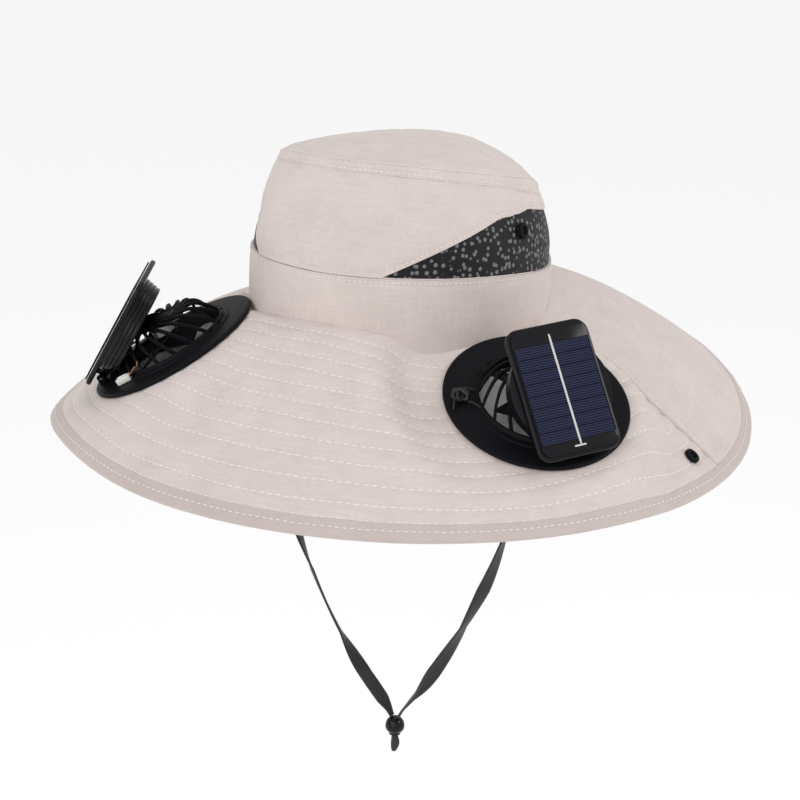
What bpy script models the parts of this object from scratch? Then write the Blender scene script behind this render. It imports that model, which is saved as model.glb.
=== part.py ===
"""Wide-brimmed cloth sun hat with a fan in each side of its brim, each under a hinged solar lid.

Metres, +Z up. The front of the hat is -Y and the wearer's left is +X. The origin is the middle of the
head opening, level with the front of the brim's root. An azimuth is counted from the front, positive
towards the wearer's left.
"""

import math

import bmesh
import bpy
import numpy as np
from mathutils import Matrix, Vector

# Head opening and cloth
HEAD_HALF_WIDTH = 0.0880
HEAD_HALF_LENGTH = 0.1002
BAND_WALL = 0.0018
CROWN_WALL = 0.0014
MESH_WALL = 0.0010
QUILT_WALL = 0.0030
FLAP_WALL = 0.0020
SEAM_GAP = 0.0003

# Brim and crown
BRIM_WIDTH = 0.125
BRIM_DROP = 0.080
BRIM_BULGE = 0.47
BAND_HEIGHT = 0.035
SIDE_HEIGHT = 0.055
TOP_HALF_WIDTH = 0.0749
TOP_HALF_LENGTH = 0.0881
TOP_SET_BACK = 0.006
DOME_HEIGHT = 0.020
SIDE_FULLNESS = 0.004
BRIM_SEAM_AZIMUTH = 92.0
BINDING_WIDTH = 0.0075
BINDING_WALL = 0.0040

# Heights and widths round the hat, as shares of the sizes above: the lift of the brim's root and the drop
# of its rim are shares of BRIM_DROP. The same row serves the left and the right.
FORM = [
    # azimuth, root lift, brim width, rim drop, band height, side height
    (0, 0.02, 0.91, 0.97, 0.84, 1.08),
    (30, -0.04, 0.945, 0.97, 0.96, 1.06),
    (60, -0.14, 0.985, 1.00, 1.11, 0.99),
    (90, -0.16, 1.005, 1.06, 0.99, 0.90),
    (120, -0.04, 1.08, 1.035, 0.62, 0.77),
    (150, 0.04, 1.18, 0.905, 0.60, 0.66),
    (180, 0.055, 1.21, 0.825, 0.62, 0.62),
]
ROOT_LIFT, WIDTH_SHARE, DROP_SHARE, BAND_SHARE, SIDE_SHARE = 1, 2, 3, 4, 5

# Soft dents and folds of the crown. The level is 0 at the band, 1 at the top seam and 2 at the middle of
# the top; the depth is a share of SIDE_FULLNESS, inwards where positive.
CROWN_DENTS = [
    # azimuth, level, depth, spread in degrees, spread in levels
    (-52, 0.45, 0.9, 11, 0.28),
    (-30, 0.30, -0.5, 9, 0.30),
    (12, 1.45, 1.1, 30, 0.22),
    (150, 0.55, 1.2, 16, 0.35),
    (-150, 0.55, 1.2, 16, 0.35),
    (104, 0.95, -0.6, 18, 0.25),
]
# Waves of the brim, upwards where positive, as shares of BRIM_DROP, growing from the root to the rim.
BRIM_WAVES = [
    # azimuth, height, spread in degrees
    (-38, 0.05, 16),
    (-68, -0.04, 14),
    (150, 0.05, 18),
    (-150, 0.05, 18),
]

# Mesh vents: azimuths of the tip, of the top corner and of the back end, and the height of the level
# top edge as a share of the side's height
VENT_TIP = {"left": 23.0, "right": 35.0}
VENT_CORNER = 78.0
VENT_BACK = 150.0
VENT_TOP = 0.74
VENT_ROUNDING = 12.0

# Fan housing, in the frame of its flange: x out to the rim, y along the brim, z up from the seat
FLANGE_RADIUS = 0.0535
FLANGE_WALL = 0.0026
COLLAR_RADIUS = 0.0355
SHOULDER_RADIUS = 0.0315
CAGE_TOP_RADIUS = 0.025
SHOULDER_HEIGHT = 0.012
CAGE_HEIGHT = 0.0205
CAGE_WALL = 0.0018
SPIGOT_RADIUS = 0.0368
SPIGOT_DEPTH = 0.0028
SPIGOT_GAP = 0.0005
WINDOWS = 12
WINDOW_SHARE = 0.62
WINDOW_INNER_RADIUS = 0.0135
WINDOW_SILL = 0.0075
GUARD_RADIUS = 0.0405
GUARD_WALL = 0.0016
GUARD_GAP = 0.0006
GUARD_WINDOWS = 6
GUARD_HUB_RADIUS = 0.010
GUARD_RIM_WIDTH = 0.013
SEAT_HELD = 0.056
SEAT_CLEAR = 0.066
SEAT_FADE = 0.030

# Motor and rotor
MOTOR_RADIUS = 0.007
MOTOR_LENGTH = 0.0074
SHAFT_RADIUS = 0.001
SHAFT_LENGTH = 0.006
ROTOR_HUB_RADIUS = 0.010
ROTOR_HUB_HEIGHT = 0.0075
ROTOR_RADIUS = 0.0275
BLADES = 5
BLADE_CHORD = 0.015
BLADE_WALL = 0.0014
BLADE_PITCH = 28.0
BEARING_GAP = 0.0006

# Solar lid, in the frame of its hinge: x from the hinge towards the crown, y along the pin, z out
HINGE_OUT = 0.046
HINGE_HEIGHT = 0.0056
LID_LENGTH = 0.075
LID_WIDTH = 0.051
LID_WALL = 0.0032
LID_CORNER = 0.008
LID_FACE = 0.0076
LID_OVERHANG = 0.0035
CUP_RADIUS = 0.0305
CUP_TAPER = 0.001
CUP_DEPTH = 0.0133
CUP_WALL = 0.0018
CELL_WALL = 0.0010
CELL_MARGIN = 0.0022
PIN_RADIUS = 0.0009
PIN_GAP = 0.0003
BARREL_RADIUS = 0.0023
BARREL_HALF_WIDTH = 0.0076
LUG_WIDTH = 0.004
LUG_DEPTH = 0.005
PLUG_SIZE = (0.009, 0.0045, 0.004)
PLUG_PLACE = (0.0260, 0.0310)

# Where each fan sits: azimuth and distance of its axis from the hat's, height of its seat there, slope of
# the seat, its tilt along the brim, the turn of the unit on its seat, and how far its lid stands open
FANS = {
    # side: sign of x, azimuth, distance, height share of BRIM_DROP, slope, tilt, turn, lid angle
    "left": (1, 60.0, 0.143, -0.405, 24.5, 8.0, -5.0, 32.0),
    "right": (-1, 44.0, 0.143, -0.373, 29.7, -6.5, 21.0, 32.0),
}

# Snaps
SNAP_RADIUS = 0.0048
SNAP_HEIGHT = 0.0028
BRIM_SNAP_AZIMUTH = 87.0
BRIM_SNAP_SHARE = 0.86
CROWN_SNAP_AZIMUTH = {"left": 80.0, "right": 90.0}
CROWN_SNAP_LEVEL = 0.48

# Chin strap: the route of each side, from inside the band to the lock
STRAP_HALF_WIDTH = 0.0045
STRAP_HALF_WALL = 0.0010
STRAP_LEFT = [
    (0.08645, 0.000, 0.006),
    (0.08645, 0.000, -0.012),
    (0.0862, 0.000, -0.040),
    (0.0860, 0.000, -0.075),
    (0.0845, 0.000, -0.110),
    (0.0795, 0.000, -0.146),
    (0.0700, 0.000, -0.180),
    (0.0570, 0.000, -0.212),
    (0.0430, 0.000, -0.241),
    (0.0280, 0.000, -0.268),
    (0.0120, 0.000, -0.292),
    (0.0075, 0.000, -0.3005),
]
STRAP_RIGHT = [
    (-0.08645, 0.000, 0.006),
    (-0.08645, 0.000, -0.012),
    (-0.0866, 0.000, -0.040),
    (-0.0870, 0.000, -0.075),
    (-0.0860, 0.000, -0.110),
    (-0.0820, 0.000, -0.146),
    (-0.0730, 0.000, -0.180),
    (-0.0590, 0.000, -0.212),
    (-0.0430, 0.000, -0.241),
    (-0.0240, 0.000, -0.268),
    (-0.0030, 0.000, -0.292),
    (0.0025, 0.000, -0.3005),
]
STRAP_POINTS = 22
LOCK_CENTRE = (0.0050, 0.0, -0.3075)
LOCK_RADIUS = 0.0066
LOCK_HEIGHT = 0.0125
TAIL_LENGTH = 0.0135
TAIL_RADIUS = 0.0030

AROUND = 42
FRONT_COLUMNS = 42
BACK_COLUMNS = 26
FRONT_ROWS = (0.0, 0.045, 0.18, 0.34, 0.50, 0.66, 0.83, 1.0)
BACK_ROWS = (0.0, 0.18, 0.38, 0.60, 0.81, 1.0)


def start_scene():
    """Clears the scene and returns the collections for the parts and for the cutters."""
    for item in list(bpy.data.objects):
        bpy.data.objects.remove(item, do_unlink=True)
    folders = []
    for name in ("solar_fan_hat", "cutters"):
        folder = bpy.data.collections.new(name)
        bpy.context.scene.collection.children.link(folder)
        folders.append(folder)
    return folders


PARTS, CUTTERS = start_scene()


def make_material(name, colour, roughness, metallic=0.0):
    material = bpy.data.materials.new(name)
    material.use_nodes = True
    shader = material.node_tree.nodes["Principled BSDF"]
    shader.inputs["Base Color"].default_value = (*colour, 1.0)
    shader.inputs["Roughness"].default_value = roughness
    shader.inputs["Metallic"].default_value = metallic
    return material


def put(name, mesh, material, parent=None):
    """Links a mesh to the parts as an object with one material."""
    part = bpy.data.objects.new(name, mesh)
    PARTS.objects.link(part)
    mesh.materials.append(material)
    if parent is not None:
        part.parent = parent
    return part


def put_cutter(name, mesh, parent=None):
    cutter = bpy.data.objects.new(name, mesh)
    CUTTERS.objects.link(cutter)
    cutter.hide_render = True
    cutter.display_type = "WIRE"
    if parent is not None:
        cutter.parent = parent
    return cutter


def boolean(part, other, operation):
    step = part.modifiers.new(operation.title() + " " + other.name, "BOOLEAN")
    step.operation = operation
    step.object = other
    step.solver = "EXACT"


def smooth(part, angle=35):
    part.data.shade_smooth()
    part.data.set_sharp_from_angle(angle=math.radians(angle))


def by_azimuth(column):
    """A smooth even function of the azimuth in degrees that passes through a column of FORM."""
    values = np.array([row[column] for row in FORM])
    last = len(values) - 1
    ends = np.ones(last + 1)
    ends[[0, -1]] = 0.5
    steps = np.arange(last + 1)
    waves = [2 / last * (ends * values * np.cos(np.pi * k * steps / last)).sum() * ends[k] for k in steps]

    def at(azimuth):
        angle = math.radians(azimuth)
        return float(sum(wave * math.cos(k * angle) for k, wave in enumerate(waves)))

    return at


root_share = by_azimuth(ROOT_LIFT)
width_share = by_azimuth(WIDTH_SHARE)
drop_share = by_azimuth(DROP_SHARE)
band_share = by_azimuth(BAND_SHARE)
side_share = by_azimuth(SIDE_SHARE)


def ease(value):
    """Smooth step from 0 to 1."""
    value = min(1.0, max(0.0, value))
    return value * value * (3 - 2 * value)


def bell(distance, spread):
    return math.exp(-((distance / spread) ** 2))


def turn_between(first, second):
    """Signed difference of two azimuths, in degrees."""
    return (first - second + 180) % 360 - 180


def oval(azimuth, half_width, half_length, height, set_back=0.0):
    angle = math.radians(azimuth)
    return Vector((half_width * math.sin(angle), set_back - half_length * math.cos(angle), height))


def root_height(azimuth):
    return BRIM_DROP * root_share(azimuth)


def band_top(azimuth):
    return root_height(azimuth) + BAND_HEIGHT * band_share(azimuth)


def seam_height(azimuth):
    return band_top(azimuth) + SIDE_HEIGHT * side_share(azimuth)


def crown_dent(azimuth, level):
    return SIDE_FULLNESS * sum(
        depth * bell(turn_between(azimuth, at), wide) * bell(level - middle, tall)
        for at, middle, depth, wide, tall in CROWN_DENTS
    )


def side_point(azimuth, level, inset=0.0):
    """A point on the outer face of the crown's side, from the band at level 0 to the top seam at level 1."""
    full = SIDE_FULLNESS * math.sin(math.pi * level) - crown_dent(azimuth, level) - inset
    bottom_width = HEAD_HALF_WIDTH + CROWN_WALL
    bottom_length = HEAD_HALF_LENGTH + CROWN_WALL
    foot = band_top(azimuth) + 2 * SEAM_GAP
    height = foot + (seam_height(azimuth) - foot) * level
    return oval(
        azimuth,
        bottom_width + (TOP_HALF_WIDTH - bottom_width) * level + full,
        bottom_length + (TOP_HALF_LENGTH - bottom_length) * level + full,
        height,
        TOP_SET_BACK * level,
    )


MEAN_SEAM = sum(seam_height(step * 30.0) for step in range(12)) / 12
DOME_FLATNESS = 2.5
DOME_FULLNESS = 3.0
# Lift of the top's edge, so that its lower face clears the side's wall
TOP_LIFT = CROWN_WALL + SEAM_GAP


def dome_point(azimuth, share):
    """A point on the outer face of the crown's top, from its middle at share 0 to the seam at share 1."""
    height = MEAN_SEAM + (seam_height(azimuth) + TOP_LIFT - MEAN_SEAM) * share**DOME_FLATNESS
    height += DOME_HEIGHT * (1 - share**DOME_FULLNESS) - crown_dent(azimuth, 2 - share) * (share > 0)
    bulge = 0.35 * SIDE_FULLNESS * math.sin(math.pi * share**4) - crown_dent(azimuth, 2 - share) * share**6
    return oval(
        azimuth,
        TOP_HALF_WIDTH * share + bulge,
        TOP_HALF_LENGTH * share + bulge,
        height,
        TOP_SET_BACK,
    )


def fan_frame(side):
    """The matrix of a fan's seat: x out to the rim, y along the brim towards the back, z up."""
    sign, azimuth, distance, height, slope, tilt, turn, _ = FANS[side]
    angle = math.radians(azimuth) * sign
    away = Vector((math.sin(angle), -math.cos(angle), 0))
    steep = math.radians(slope)
    out = away * math.cos(steep) - Vector((0, 0, math.sin(steep)))
    up = away * math.sin(steep) + Vector((0, 0, math.cos(steep)))
    tilted = Matrix.Rotation(math.radians(tilt * sign), 3, out)
    turned = Matrix.Rotation(math.radians(turn * sign), 3, up)
    axes = Matrix((out, up.cross(out), up)).transposed()
    frame = (tilted @ turned @ axes).to_4x4()
    frame.translation = away * distance + Vector((0, 0, BRIM_DROP * height))
    return frame


SEATS = {side: fan_frame(side) for side in FANS}


def brim_point(azimuth, share):
    """A point on the brim's upper face, from its root at share 0 to the rim at share 1, flat under each fan."""
    width = BRIM_WIDTH * width_share(azimuth) * share + SEAM_GAP
    fall = BRIM_DROP * drop_share(azimuth) + root_height(azimuth)
    wave = sum(height * bell(turn_between(azimuth, at), wide) for at, height, wide in BRIM_WAVES)
    height = root_height(azimuth) - fall * (share - BRIM_BULGE * share * (1 - share))
    height += BRIM_DROP * wave * share**2
    spot = oval(
        azimuth,
        HEAD_HALF_WIDTH + BAND_WALL + width,
        HEAD_HALF_LENGTH + BAND_WALL + width,
        height,
    )
    for seat in SEATS.values():
        local = seat.inverted() @ spot
        reach = math.hypot(local.x, local.y)
        held = ease(1 - (reach - SEAT_HELD) / SEAT_FADE) * ease(share / 0.04) * ease((1 - share) / 0.10)
        local.z += (-SEAM_GAP - local.z) * held
        if local.z > -SEAM_GAP:
            held = ease(1 - (reach - SEAT_CLEAR) / SEAT_FADE)
            local.z += (-SEAM_GAP - local.z) * held
        spot = seat @ local
    return spot


def loft(rings, closed_around=True, pole=False):
    """A mesh through rings of points, closed round each ring, with the last ring drawn to one point on a pole."""
    shape = bmesh.new()
    corners = [[shape.verts.new(spot) for spot in ring] for ring in rings]
    count = len(corners[0])
    last = count if closed_around else count - 1
    for lower, upper in zip(corners, corners[1:]):
        for k in range(last):
            after = (k + 1) % count
            shape.faces.new((lower[k], lower[after], upper[after], upper[k]))
    if pole:
        bmesh.ops.pointmerge(shape, verts=corners[-1], merge_co=corners[-1][0].co.copy())
    mesh = bpy.data.meshes.new("loft")
    shape.to_mesh(mesh)
    shape.free()
    return mesh


def thicken(part, wall):
    """Gives an open cloth surface its wall, inwards from its outer face."""
    step = part.modifiers.new("Wall", "SOLIDIFY")
    step.thickness = wall
    step.offset = -1
    step.use_even_offset = True


def turn(part, steps):
    """Turns a profile mesh about its z axis into a closed solid."""
    step = part.modifiers.new("Turn", "SCREW")
    step.steps = step.render_steps = steps
    step.use_merge_vertices = True
    step.merge_threshold = 0.00001
    step.use_smooth_shade = True


def profile_mesh(name, profile):
    """A chain of edges through points of (radius, height) that runs down the outer side."""
    mesh = bpy.data.meshes.new(name)
    spots = [(radius, 0, height) for radius, height in profile]
    mesh.from_pydata(spots, [(k, k + 1) for k in range(len(spots) - 1)], [])
    return mesh


def block(name, size, centre, matrix=None):
    """A box mesh of the given size and centre."""
    shape = bmesh.new()
    bmesh.ops.create_cube(shape, size=1.0)
    bmesh.ops.scale(shape, vec=size, verts=shape.verts)
    if matrix is not None:
        bmesh.ops.transform(shape, matrix=matrix, verts=shape.verts)
    bmesh.ops.translate(shape, vec=centre, verts=shape.verts)
    mesh = bpy.data.meshes.new(name)
    shape.to_mesh(mesh)
    shape.free()
    return mesh


def rod(name, radius, length, matrix, sides):
    """A cylinder mesh along the matrix's z axis, centred on it."""
    shape = bmesh.new()
    bmesh.ops.create_cone(
        shape, cap_ends=True, segments=sides, radius1=radius, radius2=radius, depth=length, matrix=matrix
    )
    mesh = bpy.data.meshes.new(name)
    shape.to_mesh(mesh)
    shape.free()
    return mesh


def sectors(name, count, share, inner, outer, low, high):
    """Cutter for a ring of equal gaps between two radii, each a wedge that takes a share of its pitch."""
    shape = bmesh.new()
    pitch = 2 * math.pi / count
    for k in range(count):
        corners = []
        for height in (low, high):
            for radius, edge in ((inner, -0.5), (outer, -0.5), (outer, 0.0), (outer, 0.5), (inner, 0.5)):
                angle = (k + edge * share) * pitch
                corners.append(shape.verts.new((radius * math.cos(angle), radius * math.sin(angle), height)))
        floor, roof = corners[:5], corners[5:]
        shape.faces.new(list(reversed(floor)))
        shape.faces.new(roof)
        for j in range(5):
            after = (j + 1) % 5
            shape.faces.new((floor[j], floor[after], roof[after], roof[j]))
    mesh = bpy.data.meshes.new(name)
    shape.to_mesh(mesh)
    shape.free()
    return mesh


def vent_top(side, azimuth):
    """The level of a vent's upper edge at an azimuth counted towards its own side, 0 where there is none."""
    tip = VENT_TIP[side]
    rise = (azimuth - tip) / (VENT_CORNER - tip)
    level = min(rise, 1 + 0.03 * (azimuth - VENT_CORNER) / VENT_ROUNDING)
    blend = ease((azimuth - VENT_CORNER + VENT_ROUNDING) / (2 * VENT_ROUNDING))
    level = min(rise, 1.0) * (1 - 0.10 * math.sin(math.pi * blend)) if level > 0 else 0.0
    return VENT_TOP * max(0.0, level) * (azimuth < VENT_BACK)


def signed_vent_top(azimuth):
    side = "left" if azimuth > 0 else "right"
    return vent_top(side, abs(azimuth))


def crown_azimuths():
    """Azimuths round the crown, with a pair at each vent's back end so that its edge stands upright."""
    regular = [-180 + 360 * k / AROUND for k in range(AROUND)]
    marks = [VENT_TIP["left"], -VENT_TIP["right"]]
    for sign in (1, -1):
        marks += [sign * (VENT_BACK - 0.05), sign * (VENT_BACK + 0.6)]
    kept = [angle for angle in regular if all(abs(turn_between(angle, mark)) > 2.2 for mark in marks)]
    return sorted(kept + marks)


def build_crown(cloth, net):
    rows = [0.0, 0.33, 0.67, 1.0]
    azimuths = crown_azimuths()
    rings = []
    for row in rows:
        ring = []
        for azimuth in azimuths:
            start = signed_vent_top(azimuth)
            ring.append(side_point(azimuth, start + (1 - start) * row))
        rings.append(ring)
    wall = put("crown_side", loft(rings), cloth)
    thicken(wall, CROWN_WALL)
    smooth(wall)

    tops = [1.0, 0.94, 0.80, 0.55, 0.28, 0.0]
    rings = [[dome_point(-180 + 360 * k / AROUND, share) for k in range(AROUND)] for share in tops]
    dome = put("crown_top", loft(rings, pole=True), cloth)
    thicken(dome, CROWN_WALL)
    smooth(dome)

    for side, sign in (("left", 1), ("right", -1)):
        start = VENT_TIP[side] + 4.5
        stretch = VENT_BACK - 0.6 - start
        columns = [start + stretch * k / 18 for k in range(19)]
        rings = []
        for row in (0.0, 0.5, 1.0):
            ring = []
            for azimuth in columns:
                clear = 4 * SEAM_GAP / (SIDE_HEIGHT * side_share(azimuth))
                level = max(0.0, vent_top(side, azimuth) - clear) * row
                ring.append(side_point(sign * azimuth, level, inset=CROWN_WALL - MESH_WALL))
            rings.append(ring if sign > 0 else ring[::-1])
        vent = put("mesh_" + side, loft(rings, closed_around=False), net)
        thicken(vent, MESH_WALL)
        smooth(vent)


def build_band(cloth):
    rings = []
    for share in (0.0, 1.0):
        ring = []
        for k in range(AROUND):
            azimuth = -180 + 360 * k / AROUND
            low, high = root_height(azimuth) - QUILT_WALL / 2, band_top(azimuth)
            ring.append(
                oval(
                    azimuth,
                    HEAD_HALF_WIDTH + BAND_WALL,
                    HEAD_HALF_LENGTH + BAND_WALL,
                    low + (high - low) * share,
                )
            )
        rings.append(ring)
    band = put("hat_band", loft(rings), cloth)
    thicken(band, BAND_WALL)
    smooth(band)


def brim_end(azimuth):
    """The share of the brim's width at which its sheet stops and the binding begins."""
    return 1 - BINDING_WIDTH / (BRIM_WIDTH * width_share(azimuth))


def brim_start(azimuth, wall):
    """The share of the brim's width at which a sheet begins, so that its lower edge clears the band."""
    width = BRIM_WIDTH * width_share(azimuth)
    fall = (BRIM_DROP * drop_share(azimuth) + root_height(azimuth)) * (1 - BRIM_BULGE)
    return (2 * SEAM_GAP + wall * fall / math.hypot(fall, width)) / width


def brim_panel(name, first, last, columns, rows, wall, material):
    """A brim sheet between two azimuths, with half the seam's gap left at each of its ends."""
    rings = []
    for row in rows:
        ring = []
        for k in range(columns + 1):
            azimuth = first + (last - first) * k / columns
            start = brim_start(azimuth, wall)
            share = start + (brim_end(azimuth) - start) * row
            reach = HEAD_HALF_WIDTH + BRIM_WIDTH * share
            trim = math.degrees(SEAM_GAP / reach) * ((k == 0) - (k == columns))
            ring.append(brim_point(azimuth + trim, share))
        rings.append(ring[::-1])
    sheet = put(name, loft(rings, closed_around=False), material)
    thicken(sheet, wall)
    smooth(sheet)
    return sheet


def build_brim(cloth, edge):
    seam = BRIM_SEAM_AZIMUTH
    front = brim_panel("brim_front", -seam, seam, FRONT_COLUMNS, FRONT_ROWS, QUILT_WALL, cloth)
    brim_panel("brim_back", seam, 360 - seam, BACK_COLUMNS, BACK_ROWS, FLAP_WALL, cloth)
    for side, seat in SEATS.items():
        hole = put_cutter(
            "brim_hole_" + side,
            rod("hole", SPIGOT_RADIUS + SPIGOT_GAP, 6 * QUILT_WALL, Matrix.Identity(4), 32),
        )
        hole.matrix_world = seat
        boolean(front, hole, "DIFFERENCE")
    build_binding(edge)


def brim_azimuths():
    """The azimuths of the two sheets' columns, once round, so that the binding follows their edges."""
    seam, back = BRIM_SEAM_AZIMUTH, 360 - 2 * BRIM_SEAM_AZIMUTH
    front = [-seam + 2 * seam * k / FRONT_COLUMNS for k in range(FRONT_COLUMNS + 1)]
    return front + [seam + back * k / BACK_COLUMNS for k in range(1, BACK_COLUMNS)]


def build_binding(edge):
    """Bound edge: a flat tape folded round the rim, lofted through one section at each azimuth."""
    proud = (BINDING_WALL - QUILT_WALL) / 2
    section = [
        # share of the binding's width, height above the brim's upper face
        (0.0, proud),
        (0.8, proud),
        (1.0, proud - BINDING_WALL / 2),
        (0.8, proud - BINDING_WALL),
        (0.0, proud - BINDING_WALL),
    ]
    rings = [[] for _ in section]
    for azimuth in brim_azimuths():
        start = brim_end(azimuth) + SEAM_GAP / (BRIM_WIDTH * width_share(azimuth))
        low, high = brim_point(azimuth, start), brim_point(azimuth, 1.0)
        along = brim_point(azimuth + 1, 1.0) - brim_point(azimuth - 1, 1.0)
        above = (high - low).cross(along).normalized()
        for ring, (share, height) in zip(rings, section):
            ring.append(low.lerp(high, share) + above * height)
    part = put("brim_binding", loft(rings + rings[:1]), edge)
    shape = bmesh.new()
    shape.from_mesh(part.data)
    bmesh.ops.remove_doubles(shape, verts=shape.verts, dist=1e-6)
    bmesh.ops.recalc_face_normals(shape, faces=shape.faces)
    shape.to_mesh(part.data)
    shape.free()
    smooth(part)


def snap_mesh(name):
    return profile_mesh(
        name,
        [
            (0.0, SNAP_HEIGHT * 0.55),
            (SNAP_RADIUS * 0.42, SNAP_HEIGHT * 0.55),
            (SNAP_RADIUS * 0.55, SNAP_HEIGHT),
            (SNAP_RADIUS * 0.90, SNAP_HEIGHT),
            (SNAP_RADIUS, 0.0),
            (0.0, 0.0),
        ],
    )


def face_frame(point, up, clearance):
    """A matrix that stands on a surface point, with z along the surface's outward direction."""
    frame = up.to_track_quat("Z", "Y").to_matrix().to_4x4()
    frame.translation = point + up * clearance
    return frame


def build_snaps(plastic):
    step = 0.5
    for side, sign in (("left", 1), ("right", -1)):
        azimuth = sign * BRIM_SNAP_AZIMUTH
        here = brim_point(azimuth, BRIM_SNAP_SHARE)
        along = brim_point(azimuth + step, BRIM_SNAP_SHARE) - brim_point(azimuth - step, BRIM_SNAP_SHARE)
        outward = brim_point(azimuth, BRIM_SNAP_SHARE + 0.01) - brim_point(azimuth, BRIM_SNAP_SHARE - 0.01)
        snap = put("brim_snap_" + side, snap_mesh("snap"), plastic)
        snap.matrix_world = face_frame(here, outward.cross(along).normalized(), SEAM_GAP * 1.5)
        turn(snap, 12)

        azimuth = sign * CROWN_SNAP_AZIMUTH[side]
        inset = CROWN_WALL - MESH_WALL
        here = side_point(azimuth, CROWN_SNAP_LEVEL, inset)
        along = side_point(azimuth + 1, CROWN_SNAP_LEVEL, inset) - side_point(azimuth - 1, CROWN_SNAP_LEVEL, inset)
        upward = side_point(azimuth, CROWN_SNAP_LEVEL + 0.02, inset) - here
        snap = put("crown_snap_" + side, snap_mesh("snap"), plastic)
        snap.matrix_world = face_frame(here, along.cross(upward).normalized(), SEAM_GAP * 1.5)
        turn(snap, 12)


def housing_profile():
    """Flange, collar and cage, down the outside from the cage's top and back up the inside."""
    wall = CAGE_WALL
    return [
        (0.0, CAGE_HEIGHT),
        (CAGE_TOP_RADIUS * 0.8, CAGE_HEIGHT),
        (CAGE_TOP_RADIUS, CAGE_HEIGHT - 0.002),
        (SHOULDER_RADIUS, SHOULDER_HEIGHT),
        (COLLAR_RADIUS, FLANGE_WALL),
        (FLANGE_RADIUS - 0.001, FLANGE_WALL),
        (FLANGE_RADIUS, FLANGE_WALL - 0.001),
        (FLANGE_RADIUS, 0.0),
        (SPIGOT_RADIUS, 0.0),
        (SPIGOT_RADIUS, -SPIGOT_DEPTH),
        (COLLAR_RADIUS - wall, -SPIGOT_DEPTH),
        (SHOULDER_RADIUS - wall, SHOULDER_HEIGHT - wall / 2),
        (CAGE_TOP_RADIUS - wall, CAGE_HEIGHT - 0.002 - wall),
        (CAGE_TOP_RADIUS * 0.55, CAGE_HEIGHT - wall),
        (0.0, CAGE_HEIGHT - wall),
    ]


def build_housing(side, seat, plastic):
    housing = put("fan_housing_" + side, profile_mesh("housing", housing_profile()), plastic, seat)
    turn(housing, 28)
    windows = put_cutter(
        "windows_" + side,
        sectors(
            "windows",
            WINDOWS,
            WINDOW_SHARE,
            WINDOW_INNER_RADIUS,
            COLLAR_RADIUS,
            WINDOW_SILL,
            CAGE_HEIGHT + CAGE_WALL,
        ),
        seat,
    )
    boolean(housing, windows, "DIFFERENCE")
    lug_height = HINGE_HEIGHT + LUG_DEPTH / 2
    lug_place = BARREL_HALF_WIDTH + 2 * PIN_GAP + LUG_WIDTH / 2
    for name, sign in (("front", -1), ("back", 1)):
        size = (LUG_DEPTH, LUG_WIDTH, lug_height - FLANGE_WALL / 2)
        centre = (HINGE_OUT, sign * lug_place, (lug_height + FLANGE_WALL / 2) / 2)
        lug = put_cutter("lug_" + name + "_" + side, block("lug", size, centre), seat)
        boolean(housing, lug, "UNION")
    bore = put_cutter("lug_bore_" + side, hinge_rod("lug_bore", PIN_RADIUS + PIN_GAP, 0.040), seat)
    boolean(housing, bore, "DIFFERENCE")
    smooth(housing)

    length = 2 * (lug_place + LUG_WIDTH / 2)
    put("hinge_pin_" + side, hinge_rod("hinge_pin", PIN_RADIUS, length), STEEL, seat)


def hinge_rod(name, radius, length):
    across = Matrix.Translation((HINGE_OUT, 0, HINGE_HEIGHT)) @ Matrix.Rotation(math.pi / 2, 4, "X")
    return rod(name, radius, length, across, 12)


def build_guard(side, seat, plastic):
    top = -SEAM_GAP - QUILT_WALL - GUARD_GAP
    profile = [
        (0.0, top),
        (GUARD_RADIUS, top),
        (GUARD_RADIUS, top - GUARD_WALL),
        (0.0, top - GUARD_WALL),
    ]
    guard = put("fan_guard_" + side, profile_mesh("guard", profile), plastic, seat)
    turn(guard, 22)
    gaps = put_cutter(
        "guard_gaps_" + side,
        sectors(
            "guard_gaps",
            GUARD_WINDOWS,
            0.86,
            GUARD_HUB_RADIUS,
            GUARD_RADIUS - GUARD_RIM_WIDTH,
            top - 3 * GUARD_WALL,
            top + 2 * GUARD_WALL,
        ),
        seat,
    )
    boolean(guard, gaps, "DIFFERENCE")


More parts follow.
